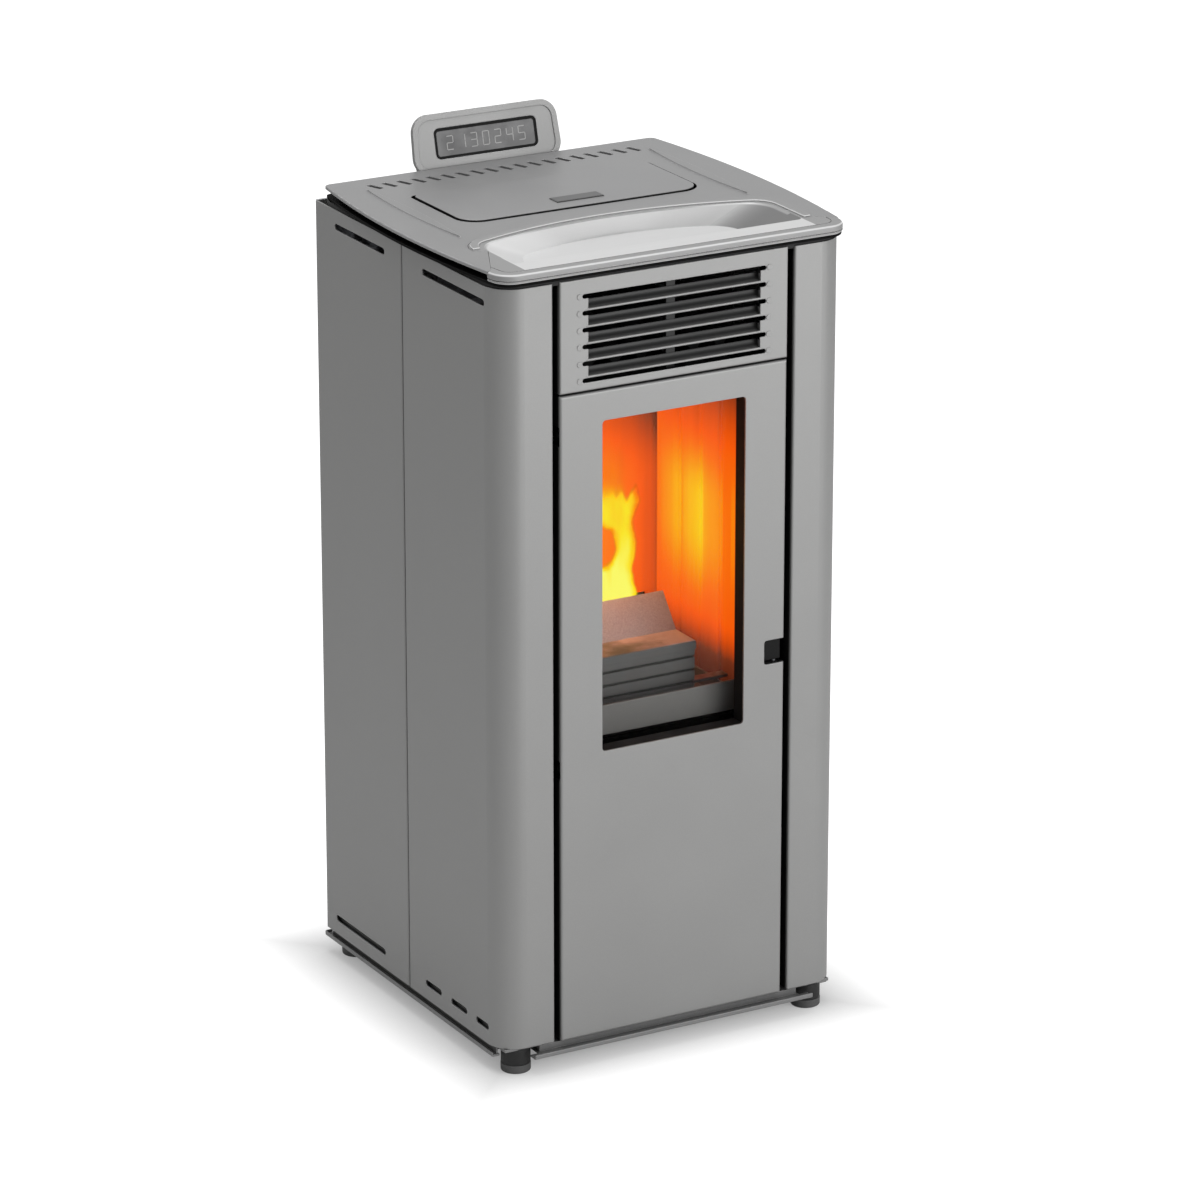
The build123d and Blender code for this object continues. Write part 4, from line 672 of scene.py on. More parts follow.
@dataclass(frozen=True)
class BrightMetal(Finish):
    """The tray's bare metal: a bright drawn dish and a duller rim, with a painted highlight on its
    bends, edges lighter from wear and a painted highlight, and painted shade on the dish's right
    wall.
    """

    tint: Colour
    gloss: float
    metal: float
    edge: float
    scratches: float = 0.10
    radius: float = 0.0012
    rim_tint: Colour = grey(0.37)
    # painted highlight on the bends, edges lighter from wear and a painted highlight, painted shade
    # on the right wall
    bend_highlight_tint: Colour = grey(0.86)
    worn_and_highlight_tint: Colour = grey(0.90)
    wall_shade_share: float = 0.12
    dish_half: float = 0.165
    dish_front: float = 0.0055
    lip_back: float = 0.055
    rim_level: float = 0.8456
    rim_blend: float = 0.0014

    def in_dish(self, graph: Graph) -> NodeSocket:
        """Where the drawn dish and its front lip are.

        Args:
            graph: the material's graph.

        Returns:
            The mask's socket.
        """
        x, y, z = graph.split(graph.object_point())
        within = graph.times(
            graph.below(graph.size(x), self.dish_half), graph.above(y, behind(self.dish_front))
        )
        sunk = graph.fade(z, self.rim_level - self.rim_blend, self.rim_level)
        return graph.times(within, graph.larger(sunk, graph.below(y, behind(self.lip_back))))

    def shade(self, graph: Graph) -> Node:
        """Build the grain, then the painted highlight on the bends, the painted shade on the right
        wall, the edges lighter from wear and a painted highlight, and painted shade in crevices.
        """
        dish = self.in_dish(graph)
        sideways, _, upward = graph.split(graph.facing())
        grain = EFFECTS.use(
            graph,
            Effect.GRAIN,
            Tint=graph.blend(dish, self.rim_tint, self.tint),
            Gloss=self.gloss,
            Depth=self.scratches,
        )
        wear_and_highlight = EFFECTS.mask(graph, Effect.WEAR, Radius=self.radius, Amount=self.edge)
        # painted shade in crevices
        shut = EFFECTS.mask(graph, Effect.CREVICE, Amount=0.95)
        slope = graph.size(upward)
        # painted highlight where the dish bends
        bend = graph.times(graph.span(slope, 0.30, 0.55), graph.fade(slope, 0.80, 0.95, 0.75))
        colour = graph.blend(bend, grain["Color"], self.bend_highlight_tint)
        # painted shade on the dish's right wall
        wall_shade = graph.times(graph.fade(sideways, -0.45, -0.08, 0.85), dish)
        colour = graph.blend(wall_shade, colour, tuple(self.wall_shade_share * c for c in self.tint))
        colour = graph.blend(wear_and_highlight, colour, self.worn_and_highlight_tint)
        shader = graph.principled(
            Base_Color=graph.blend(shut, colour, grey(0.02)),
            Roughness=grain["Roughness"],
            Metallic=self.metal,
        )
        return graph.relief(shader, grain["Height"], 0.00002, self.radius)


@dataclass(frozen=True)
class ZincSteel(Finish):
    """Galvanised or zinc-plated sheet, with so many crystals to a metre."""

    tint: Colour
    crystals: float = 110.0
    radius: float = 0.0006

    def shade(self, graph: Graph) -> Node:
        """Build the crystals and the edges lighter from wear and a painted highlight."""
        skin = EFFECTS.use(graph, Effect.SPANGLE, Tint=self.tint, Size=self.crystals)
        wear_and_highlight = EFFECTS.mask(graph, Effect.WEAR, Radius=self.radius, Amount=0.4)
        shader = graph.principled(
            Base_Color=graph.blend(wear_and_highlight, skin["Color"], (0.75, 0.75, 0.76)),
            Roughness=skin["Roughness"],
            Metallic=0.9,
        )
        return graph.relief(shader, skin["Height"], 0.00004, self.radius)


@dataclass(frozen=True)
class CastMetal(Finish):
    """A sand-cast piece, stained by heat, with painted shade in its grooves and ash on its top
    faces.
    """

    tint: Colour
    stain: Colour
    metal: float = 0.2
    grooves: Tuple[float, ...] = ()
    groove_half: float = 0.0010
    ash: float = 0.0
    ash_tint: Colour = (0.44, 0.38, 0.46)
    radius: float = 0.0012

    def shade(self, graph: Graph) -> Node:
        """Build the cast skin, its edges lighter from wear and a painted highlight, the ash and the
        painted shade in the grooves.
        """
        skin = EFFECTS.use(graph, Effect.CAST, Tint=self.tint, Stain=self.stain)
        wear_and_highlight = EFFECTS.mask(graph, Effect.WEAR, Radius=self.radius, Amount=0.35)
        dust = EFFECTS.mask(graph, Effect.DUST, Amount=self.ash)
        light = tuple(min(1.0, 1.9 * c) for c in self.tint)
        colour = graph.blend(dust, graph.blend(wear_and_highlight, skin["Color"], light), self.ash_tint)
        height = graph.split(graph.object_point())[2]
        # painted shade in the grooves
        for groove in self.grooves:
            off = graph.size(graph.minus(height, groove))
            groove_shade = graph.fade(off, self.groove_half, 2 * self.groove_half, 0.92)
            colour = graph.blend(groove_shade, colour, SHADE_BLACK)
        shader = graph.principled(
            Base_Color=colour, Roughness=skin["Roughness"], Metallic=self.metal
        )
        return graph.relief(shader, skin["Height"], 0.00018, self.radius)


@dataclass(frozen=True)
class Moulded(Finish):
    """Moulded plastic or rubber with a fine texture."""

    tint: Colour
    roughness: float = 0.55
    texture: float = 900.0
    depth: float = 0.00008
    coat: float = 0.0
    radius: float = 0.0008

    def shade(self, graph: Graph) -> Node:
        """Build the plastic, its edges lighter from wear and a painted highlight, and its dust."""
        point = graph.object_point()
        fine = graph.noise(point, self.texture)
        broad = graph.noise(point, scale=30, detail=3)
        low, high = 0.3, 0.7
        wear_and_highlight = EFFECTS.mask(graph, Effect.WEAR, Radius=self.radius, Amount=0.3)
        dust = EFFECTS.mask(graph, Effect.DUST, Amount=0.15)
        colour = graph.scale_colour(self.tint, graph.span(broad, low, high, 0.9, 1.1))
        colour = graph.blend(wear_and_highlight, colour, tuple(2.2 * c + 0.03 for c in self.tint))
        rough = (self.roughness - 0.08, self.roughness + 0.08)
        shader = graph.principled(
            Base_Color=graph.blend(dust, colour, (0.3, 0.3, 0.29)),
            Roughness=graph.span(fine, low, high, *rough),
            Coat_Weight=self.coat,
        )
        return graph.relief(shader, fine, self.depth, self.radius)


@dataclass(frozen=True)
class BraidedRope(Finish):
    """Glass-fibre rope: strands that cross over each other along the piece's own UV map."""

    tint: Colour
    pitch: float = 170.0
    turns: float = 8.0

    def shade(self, graph: Graph) -> Node:
        """Build the crossing strands and their fibres."""
        along, around, _ = graph.split(graph.on_map("rope"))
        run, wrap = graph.times(along, self.pitch), graph.times(around, self.turns)
        strands = [graph.calc("PINGPONG", way(run, wrap), 0.5) for way in (graph.plus, graph.minus)]
        weave = graph.larger(*strands)
        fibre = graph.noise(graph.object_point(), scale=2600)
        shade = graph.span(weave, 0.15, 0.5, 0.45, 1.1)
        shade = graph.times(shade, graph.span(fibre, 0.3, 0.7, 0.85, 1.1))
        shader = graph.principled(Base_Color=graph.scale_colour(self.tint, shade), Roughness=0.9)
        height = graph.line(weave, 1.6, graph.times(fibre, 0.3))
        return graph.relief(shader, height, 0.0008, radius=0, strength=0.8)


@dataclass(frozen=True)
class ClearGlass(Finish):
    """Heat-proof glass: clear, with a faint warm tint and a trace of soot low down."""

    tint: Colour = (0.97, 0.96, 0.94)
    soot_tint: Colour = (0.4, 0.37, 0.34)
    soot_fades: Tuple[float, float] = (0.33, 0.42)

    def shade(self, graph: Graph) -> Node:
        """Build the glass, which lets light through to the fire without bending it."""
        point = graph.object_point()
        low_down = graph.fade(graph.split(point)[2], *self.soot_fades)
        soot = graph.times(low_down, graph.noise(point, scale=40, detail=3))
        glass = graph.principled(
            Transmission_Weight=1.0,
            IOR=1.45,
            Specular_Tint=grey(0.06),
            Base_Color=graph.blend(graph.times(soot, 0.10), self.tint, self.soot_tint),
            Roughness=graph.times(soot, 0.05),
        )
        clear = graph.fill(graph.add("BsdfTransparent"), Color=(0.92, 0.92, 0.90))
        rays = graph.add("LightPath").outputs
        through = graph.larger(rays["Is Shadow Ray"], rays["Is Diffuse Ray"])
        return graph.either(through, glass, clear)


class Across(Enum):
    """Which way a lining's bands of heat run: out from the middle, or front to back."""

    WIDTH = 0
    DEPTH = 1


@dataclass(frozen=True)
class FirelitLining(Finish):
    """Steel lining, browned by heat, that emits painted firelight in bands, strongest beside the
    flames.
    """

    bands: Tuple[Tuple[float, float], ...]
    across: Across = Across.DEPTH
    start: float = behind(0.040)
    end: float = behind(0.232)
    dark_front: float = behind(0.066)
    fall: Tuple[float, float, float] = (0.585, 0.69, -0.30)
    everywhere: float = 0.0
    tint: Colour = (0.030, 0.018, 0.012)
    stain: Colour = (0.020, 0.012, 0.010)
    # colours of the painted firelight
    firelight_colours = (
        (0.0, in_linear(14, 7, 6)),
        (0.25, in_linear(113, 48, 26)),
        (0.40, in_linear(214, 74, 12)),
        (0.50, in_linear(250, 90, 6)),
        (0.60, in_linear(253, 110, 5)),
        (0.70, in_linear(253, 140, 8)),
        (0.82, in_linear(253, 168, 10)),
        (0.92, in_linear(253, 192, 15)),
        (1.0, in_linear(254, 214, 28)),
    )

    def heat(self, graph: Graph) -> NodeSocket:
        """How much painted firelight each point gets, less in front of the fire.

        Args:
            graph: the material's graph.

        Returns:
            The painted firelight's socket, 0 to 1.
        """
        start, end, fall = self.fall
        firelit = EFFECTS.use(graph, Effect.GLOW, Fall_Start=start, Fall_End=end, Fall=fall)
        x, y, _ = graph.split(graph.object_point())
        place = graph.size(x) if self.across is Across.WIDTH else y
        run = graph.fill(graph.add("MapRange"), Value=place, From_Min=self.start, From_Max=self.end)
        band = graph.ramp(run.outputs[0], [(at, grey(level)) for at, level in self.bands])
        share = graph.larger(firelit["Beside"], self.everywhere)
        heat = graph.plus(firelit["Level"], graph.times(graph.minus(band, 0.5), share))
        return graph.times(heat, graph.line(graph.above(y, self.dark_front), 0.56, 0.44))

    def shade(self, graph: Graph) -> Node:
        """Build the browned skin and the painted firelight it emits."""
        skin = EFFECTS.use(graph, Effect.CAST, Tint=self.tint, Stain=self.stain)
        shader = graph.principled(
            Base_Color=skin["Color"],
            Roughness=skin["Roughness"],
            Specular_IOR_Level=0.1,
            # painted firelight: the lining emits it
            Emission_Color=graph.ramp(self.heat(graph), self.firelight_colours),
            Emission_Strength=0.96,
        )
        return graph.relief(shader, skin["Height"], 0.0001, radius=0.001)


@dataclass(frozen=True)
class FlameSheet(Finish):
    """Burning gas on one sheet: a yellow body with a wavering edge, frayed tips and a plume."""

    phase: float
    reach: float = 0.0395
    top: float = 0.134
    plume: float = 0.045
    swing: float = 0.0022
    waves: float = 125.0
    slant: float = 30.0
    gap_at: Tuple[float, float] = (0.003, 0.073)
    gap_size: Tuple[float, float] = (0.017, 0.023)
    has_gap: bool = True
    colours = (
        (0.0, in_linear(250, 100, 10)),
        (0.22, in_linear(252, 140, 8)),
        (0.45, in_linear(253, 198, 16)),
        (0.68, in_linear(254, 232, 38)),
        (0.95, in_linear(254, 252, 105)),
    )

    def edge(self, graph: Graph, u: NodeSocket, v: NodeSocket, ripple: NodeSocket) -> NodeSocket:
        """How far the flame reaches to each side at a height.

        Args:
            graph: the material's graph.
            u, v: metres across and up the sheet.
            ripple: noise round 0.

        Returns:
            The reach's socket, in metres.
        """
        turn = graph.plus(graph.line(v, self.waves, self.phase), graph.times(u, self.slant))
        edge = graph.line(graph.calc("SINE", turn), self.swing, self.reach)
        edge = graph.plus(edge, graph.times(ripple, 0.006))
        return graph.plus(edge, graph.span(v, 0.09, 0.13, to_high=0.003))

    def in_gap(self, graph: Graph, point: NodeSocket, ripple: NodeSocket) -> NodeSocket:
        """How far a point is from the gap's middle, where 1 is its edge.

        Args:
            graph: the material's graph.
            point: the point on the sheet.
            ripple: noise round 0.

        Returns:
            The distance's socket.
        """
        (x, y), (wide, tall) = self.gap_at, self.gap_size
        scaled = graph.place(
            point, scale=(1 / wide, 1 / tall, 0.0), move=(-x / wide, -y / tall, 0.0)
        )
        ring = graph.add("VectorMath", operation="LENGTH")
        graph.feed(ring.inputs[0], scaled)
        return graph.line(ripple, 0.5, ring.outputs["Value"])

    def shade(self, graph: Graph) -> Node:
        """Build the flame from the sheet's UV map, which holds metres across and up."""
        u, v, _ = graph.split(graph.on_map("flame"))
        point = graph.fill(graph.add("CombineXYZ"), X=u, Y=v, Z=self.phase).outputs[0]
        ripple = graph.sway(point, scale=75)
        side = graph.size(u)
        inside = graph.minus(self.edge(graph, u, v, ripple), side)
        fray = graph.sway(graph.place(point, scale=(110, 16, 1)), scale=1.0)
        above = graph.plus(graph.minus(v, self.top), graph.times(fray, 0.040))
        body = graph.times(graph.span(inside, 0.0, 0.0030), graph.fade(above, -0.006, 0.003))
        haze = graph.times(
            graph.fade(above, -0.012, self.plume, 0.8), graph.fade(side, 0.014, 0.034)
        )
        cover = graph.larger(body, haze)
        heat = graph.span(inside, 0.0005, 0.011, 0.18, 0.62)
        heat = graph.plus(heat, graph.fade(v, 0.02, 0.105, 0.38))
        heat = graph.plus(heat, graph.times(fray, 0.55))
        heat = graph.minus(heat, graph.span(above, -0.018, 0.020, to_high=0.52))
        if self.has_gap:
            gap = self.in_gap(graph, point, ripple)
            cover = graph.times(cover, graph.span(gap, 0.86, 1.08))
            heat = graph.times(heat, graph.span(gap, 0.95, 1.35, to_low=0.45))
        return graph.principled(
            Base_Color=grey(0.0),
            Specular_IOR_Level=0.0,
            Emission_Color=graph.ramp(heat, self.colours),
            Emission_Strength=1.0,
            Alpha=cover,
        )


@dataclass(frozen=True)
class LitSegment(Finish):
    """The pale lines of the display's figures, slightly uneven as printed or lit film is."""

    tint: Colour

    def shade(self, graph: Graph) -> Node:
        """Build the film."""
        patches = graph.noise(graph.object_point(), scale=900)
        level = graph.span(patches, 0.3, 0.7, to_low=0.85)
        return graph.principled(Base_Color=graph.scale_colour(self.tint, level), Roughness=0.4)


@dataclass(frozen=True)
class WhiteFloor(Finish):
    """A white floor with the stove's real soft shadow, darkened near the stove by a painted shadow,
    and plain white further off.
    """

    footprint: float = 0.200
    shadow_start: float = -0.05
    shadow_reach: float = 0.12

    def shade(self, graph: Graph) -> Node:
        """Build the floor the camera sees, whose glow is dimmer near the footprint as a painted
        shadow, and the matt one that lights the stove.
        """
        x, y, _ = graph.split(graph.object_point())
        away = graph.larger(*(graph.minus(graph.size(place), self.footprint) for place in (x, y)))
        # painted shadow: the glow falls off towards the stove's footprint
        painted_shadow_glow = graph.add("Emission")
        graph.fill(painted_shadow_glow, Strength=graph.span(away, self.shadow_start, self.shadow_reach, 0.22))
        both = graph.add("AddShader")
        pale = graph.fill(graph.add("BsdfDiffuse"), Color=grey(0.55))
        for socket, part in zip(both.inputs, (pale, painted_shadow_glow)):
            graph.feed(socket, part.outputs[0])
        matt = graph.fill(graph.add("BsdfDiffuse"), Color=grey(0.95))
        return graph.either(graph.seen()[1], matt, both)


# painted shade in the door's side gaps, and a painted shadow along the lid's edges
DOOR_GAP = (0.1255, 0.1395, 0.0020, 0.0050)
LID_EDGE_SHADOW = (0.1395, 0.176, 0.299)
CASING = (0.330, 0.330, 0.327)


@dataclass
class Finishes:
    """Every finish of the stove, and the CAD nodes that wear it."""

    casing: SatinPaint = SatinPaint(
        "casing_grey", CASING, edge=0.75, edge_tint=grey(0.82), door_gap_shade=DOOR_GAP
    )
    # painted shade deep in the grille's louvres
    grille: SatinPaint = SatinPaint(
        "grille_grey", CASING, edge=0.8, edge_tint=grey(0.84), recess=(0.0012, 0.0070)
    )
    panel: SatinPaint = SatinPaint(
        "panel_grey", (0.290, 0.290, 0.288), edge=0.95, edge_tint=grey(0.90)
    )
    top: SatinPaint = SatinPaint(
        "top_grey",
        (0.345, 0.345, 0.347),
        clouds=0.12,
        edge=0.95,
        edge_tint=grey(0.85),
        lid_edge_shadow=LID_EDGE_SHADOW,
    )
    lid: SatinPaint = SatinPaint(
        "lid_grey", (0.345, 0.345, 0.348), clouds=0.16, edge=0.6, lid_edge_shadow=LID_EDGE_SHADOW
    )
    tray: BrightMetal = BrightMetal("tray_bright", grey(0.71), gloss=0.58, metal=0.55, edge=1.0)
    black: SatinPaint = SatinPaint(
        "stove_black",
        grey(0.009),
        metal=0.0,
        gloss=0.6,
        edge=0.2,
        edge_tint=grey(0.09),
        shine=0.15,
    )
    # painted shade: near-black on the parts seen through the door's gaps, where shade falls
    gap_shade: SatinPaint = SatinPaint(
        "gap_shade_black",
        DEEP_SHADE,
        metal=0.0,
        gloss=0.8,
        edge=0.1,
        edge_tint=grey(0.02),
        dust=0.0,
        shine=0.02,
    )
    # painted shade: near-black on the frame under the top, where the gap is in shade; its edges
    # lighter from wear and a painted highlight
    top_gap_shade: SatinPaint = SatinPaint(
        "top_gap_shade_black",
        grey(0.006),
        metal=0.0,
        gloss=0.6,
        edge=0.4,
        edge_tint=grey(0.20),
        dust=0.0,
        shine=0.04,
    )
    base: SatinPaint = SatinPaint(
        "base_grey", grey(0.24), metal=0.2, gloss=0.45, edge=0.8, edge_tint=grey(0.72)
    )
    drawer: SatinPaint = SatinPaint(
        "drawer_grey",
        (0.138, 0.138, 0.14),
        metal=0.1,
        gloss=0.55,
        clouds=0.25,
        edge=0.4,
        edge_tint=(0.40, 0.33, 0.30),
    )
    holder: CastMetal = CastMetal(
        "holder_cast",
        (0.11, 0.113, 0.117),
        (0.11, 0.095, 0.09),
        grooves=(0.365, 0.378, 0.392),
        ash=1.3,
    )
    deflector: CastMetal = CastMetal("deflector_cast", (0.45, 0.40, 0.43), (0.42, 0.33, 0.33))
    pot: CastMetal = CastMetal("pot_cast", (0.10, 0.09, 0.085), (0.16, 0.09, 0.06))
    zinc: ZincSteel = ZincSteel("zinc_sheet", (0.52, 0.53, 0.55))
    plated: ZincSteel = ZincSteel("zinc_plated", (0.58, 0.59, 0.62), crystals=900.0)
    alloy: CastMetal = CastMetal("alloy_cast", (0.55, 0.55, 0.56), grey(0.42), metal=0.8)
    motor: SatinPaint = SatinPaint("motor_black", (0.03, 0.03, 0.033), metal=0.2, gloss=0.4)
    plastic: Moulded = Moulded("black_plastic", (0.022, 0.022, 0.024))
    switch: Moulded = Moulded("switch_red", (0.35, 0.012, 0.01), roughness=0.35)
    collar: Moulded = Moulded("collar_black", grey(0.010), roughness=0.5)
    rubber: Moulded = Moulded("foot_rubber", grey(0.085), roughness=0.62, texture=500.0)
    foam: Moulded = Moulded("seal_foam", grey(0.03), roughness=0.9, texture=1500.0, depth=0.0003)
    board: Moulded = Moulded("board_green", (0.02, 0.12, 0.04), roughness=0.4)
    screen: Moulded = Moulded(
        "screen_smoked",
        (0.130, 0.130, 0.132),
        roughness=0.40,
        texture=60.0,
        depth=0.00001,
        coat=0.05,
    )
    bezel: SatinPaint = SatinPaint(
        "bezel_dark",
        grey(0.012),
        metal=0.0,
        gloss=0.55,
        edge=0.0,
        dust=0.0,
        crevice=0.0,
        shine=0.1,
    )
    plate: SatinPaint = SatinPaint(
        "plate_dark",
        (0.135, 0.135, 0.137),
        metal=0.3,
        gloss=0.38,
        clouds=0.5,
        edge=0.3,
        edge_tint=grey(0.3),
    )
    figure: LitSegment = LitSegment("figure_pale", (0.50, 0.50, 0.49))
    glass: ClearGlass = ClearGlass("door_glass")
    # painted firelight on the linings
    side_lining: FirelitLining = FirelitLining(
        "side_lining",
        (
            (0.135, 0.50), (0.150, 0.66), (0.178, 0.66), (0.190, 0.58), (0.285, 0.60),
            (0.295, 0.69), (0.42, 0.76), (0.495, 0.86), (0.51, 0.95), (0.57, 0.91),
            (0.69, 0.80), (0.715, 0.78), (0.722, 0.55), (0.728, 0.80), (0.745, 0.85),
            (0.81, 0.77), (0.885, 0.70), (0.96, 0.58), (1.0, 0.40),
        ),
    )
    back_lining: FirelitLining = FirelitLining(
        "back_lining",
        ((0.0, 0.60), (0.45, 0.52), (0.85, 0.42), (1.0, 0.34)),
        across=Across.WIDTH,
        start=0.055,
        end=0.111,
        fall=(0.53, 0.64, -0.26),
        everywhere=1.0,
    )
    baffle: FirelitLining = FirelitLining(
        "baffle_lining", ((0.0, 0.50), (1.0, 0.50)), fall=(0.60, 0.68, -0.30)
    )

    def worn_by(self) -> Dict[str, Finish]:
        """Which finish each CAD node wears."""
        corners = " ".join(
            f"side_panel_{end}_{side}" for end in ("front", "rear") for side in ("left", "right")
        )
        groups = (
            (self.casing, f"{corners} door_panel"),
            (self.grille, "vent_grille"),
            (self.gap_shade, "front_bulkhead hinge_brackets catch_keeper"),
            (self.panel, "control_housing control_fascia"),
            (self.top, "top_plate"),
            (self.lid, "hopper_lid"),
            (self.tray, "front_tray"),
            (self.black, "door_frame catch_lever firebox_body heat_exchanger flue_spigot"),
            (self.top_gap_shade, "lower_top_frame"),
            (self.base, "base_tray"),
            (self.drawer, "ash_drawer"),
            (self.holder, "pot_holder"),
            (self.deflector, "flame_deflector"),
            (self.pot, "burn_pot"),
            (self.side_lining, "side_liners"),
            (self.back_lining, "back_liner"),
            (self.baffle, "flame_baffle"),
            (self.zinc, "rear_panel chassis_posts hopper auger_tube smoke_duct"),
            (self.zinc, "air_intake_pipe convection_housing"),
            (self.plated, "foot_nuts rear_panel_screws glass_clips catch_pin catch_spring"),
            (self.plated, "auger_screw smoke_impeller igniter"),
            (self.alloy, "smoke_fan_housing convection_rotor"),
            (self.motor, "gear_motor smoke_motor convection_motor"),
            (self.plastic, "control_board_box pressure_switch power_inlet"),
            (self.switch, "power_switch"),
            (self.collar, "foot_studs"),
            (self.rubber, "foot_pads"),
            (self.board, "display_board"),
            (self.screen, "display_window"),
            (self.glass, "door_glass"),
        )
        return {node: finish for finish, nodes in groups for node in nodes.split()}

    def dress(self) -> None:
        """Put each finish on its CAD nodes."""
        made: Dict[str, Material] = {}
        for node, finish in self.worn_by().items():
            if finish.name not in made:
                made[finish.name] = finish.material()
            dress_object(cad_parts[node], made[finish.name])
        LOG.info("%d CAD nodes wear %d finishes", len(self.worn_by()), len(made))


def dress_object(piece: Object, material: Material) -> None:
    """Give a piece one material.

    Args:
        piece: the object.
        material: the material.
    """
    slots = piece.data.materials
    if not slots:
        slots.append(material)
    for index in range(len(slots)):
        slots[index] = material


def link(item: Object) -> Object:
    """Show an object in the scene."""
    bpy.context.scene.collection.objects.link(item)
    return item


def make_object(name: str, shape: BMesh, material: Material, smooth: bool = False) -> Object:
    """Turn a bmesh into an object in the scene.

    Args:
        name: its name.
        shape: its shape, in metres in the stove's frame.
        material: its finish.
        smooth: whether its faces shade smoothly.

    Returns:
        The new object.
    """
    data = bpy.data.meshes.new(name)
    shape.to_mesh(data)
    shape.free()
    for polygon in data.polygons:
        polygon.use_smooth = smooth
    data.materials.append(material)
    return link(bpy.data.objects.new(name, data))


def add_piece(
    name: str, shape: BMesh, body: str, finish: Finish, smooth: bool = True
) -> Object:
    """Turn a bmesh into a finished piece that rides on a body.

    Args:
        name: the piece's name.
        shape: its shape, in metres in the stove's frame.
        body: the CAD body it moves with.
        finish: its finish.
        smooth: whether its faces shade smoothly.

    Returns:
        The new object.
    """
    piece = make_object(name, shape, finish.material(), smooth)
    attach(piece, body)
    LOG.info("%s: %d faces on %s", name, len(piece.data.polygons), body)
    return piece


@dataclass
class RopeSeal:
    """A soft seal laid round a rounded rectangle in the door's plane."""

    name: str
    node: str
    half_width: float
    low: float
    high: float
    corner: float
    radius_x: float
    radius_y: float
    finish: Finish
    depth: float = 0.0
    sides: int = 14
    corner_steps: int = 8
    step: float = 0.02
    weld: float = 0.00005

    @property
    def middle(self) -> float:
        """The height of the loop's middle."""
        return (self.low + self.high) / 2

    @property
    def wide(self) -> float:
        """Half the length of the straight across."""
        return self.half_width - self.corner

    @property
    def tall(self) -> float:
        """Half the length of the straight side."""
        return (self.high - self.low) / 2 - self.corner

    @property
    def half_loop(self) -> float:
        """Half the length of the whole loop."""
        return 2 * self.tall + 2 * self.wide + math.pi * self.corner

    def path_length(self, point: Vector) -> float:
        """How far along the loop a point of the rope is.

        Args:
            point: a point on or near the rope.

        Returns:
            The distance in metres from the foot of the left side, up and round.
        """
        x, z = point.x, point.z - self.middle
        past_half = z < -self.tall or (z <= self.tall and x >= 0)
        if past_half:
            x, z = -x, -z
        quarter = math.pi * self.corner / 2
        if z <= self.tall:
            along = z + self.tall
        elif abs(x) <= self.wide:
            along = 2 * self.tall + quarter + x + self.wide
        else:
            arc = self.corner * math.atan2(z - self.tall, abs(x) - self.wide)
            along = 2 * self.tall + arc if x < 0 else self.half_loop - arc
        return along + (self.half_loop if past_half else 0)

    def turn_of(self, point: Vector) -> float:
        """Where round the rope's section a point is.

        Args:
            point: a point on the rope's surface.

        Returns:
            The turn, 0 to 1.
        """
        x, z = abs(point.x) - self.wide, abs(point.z - self.middle) - self.tall
        out = (math.hypot(x, z) if x > 0 and z > 0 else max(x, z)) - self.corner
        inward = (point.y - behind(self.depth)) / self.radius_y
        return math.atan2(inward, out / self.radius_x) / (2 * math.pi) + 0.5

    def mesh(self) -> BMesh:
        """Sweep the section round the loop: extrude its straights and spin its corners."""
        y, wide, tall = behind(self.depth), self.wide, self.tall
        shape = bmesh.new()
        flat = Matrix.Translation((-self.half_width, y, self.low + self.corner))
        flat = flat @ Matrix.Diagonal((self.radius_x, self.radius_y, 1, 1))
        bmesh.ops.create_circle(shape, segments=self.sides, radius=1.0, matrix=flat)
        rim = list(shape.edges)
        legs = (((0, 1), (-1, 1)), ((1, 0), (1, 1)), ((0, -1), (1, -1)), ((-1, 0), (-1, -1)))
        for (right, up), (side, end) in legs:
            run = Vector((2 * wide * right, 0, 2 * tall * up))
            steps = max(2, int(run.length / self.step))
            for _ in range(steps):
                grown = bmesh.ops.extrude_edge_only(shape, edges=rim)["geom"]
                verts = [item for item in grown if isinstance(item, BMVert)]
                bmesh.ops.translate(shape, verts=verts, vec=run / steps)
                rim = [item for item in grown if isinstance(item, BMEdge)]
            turned = bmesh.ops.spin(
                shape,
                geom=rim,
                cent=(side * wide, y, self.middle + end * tall),
                axis=(0, 1, 0),
                angle=math.pi / 2,
                steps=self.corner_steps,
                use_duplicate=False,
            )
            rim = [item for item in turned["geom_last"] if isinstance(item, BMEdge)]
        bmesh.ops.remove_doubles(shape, verts=shape.verts, dist=self.weld)
        bmesh.ops.recalc_face_normals(shape, faces=shape.faces)
        self.unwrap(shape)
        return shape

    def unwrap(self, shape: BMesh) -> None:
        """Give the rope a UV map: metres along it, and its turn round the section.

        Args:
            shape: the rope's mesh.
        """
        layer = shape.loops.layers.uv.new("rope")
        total = 2 * self.half_loop
        for face in shape.faces:
            centre = face.calc_center_median()
            start, centre_turn = self.path_length(centre), self.turn_of(centre)
            for loop in face.loops:
                along, turn = self.path_length(loop.vert.co), self.turn_of(loop.vert.co)
                along += total * round((start - along) / total)
                loop[layer].uv = (along, turn + round(centre_turn - turn))

    def build(self, body: str, slot: str) -> None:
        """Build the seal, in place of its CAD node where it has one.

        Args:
            body: the CAD body it moves with.
            slot: not used.
        """
        piece = add_piece(self.name, self.mesh(), body, self.finish)
        if self.node:
            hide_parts(self.node)


@dataclass
class LidSeal(RopeSeal):
    """A soft foam strip laid flat round the top: low and high are depths here."""

    level: float = 0.84125

    def mesh(self) -> BMesh:
        """Lay the strip down: what was up the door runs back along the top."""
        shape = super().mesh()
        for vert in shape.verts:
            x, y, z = vert.co
            vert.co = Vector((x, behind(z), self.level + y - behind(self.depth)))
        bmesh.ops.recalc_face_normals(shape, faces=shape.faces)
        return shape


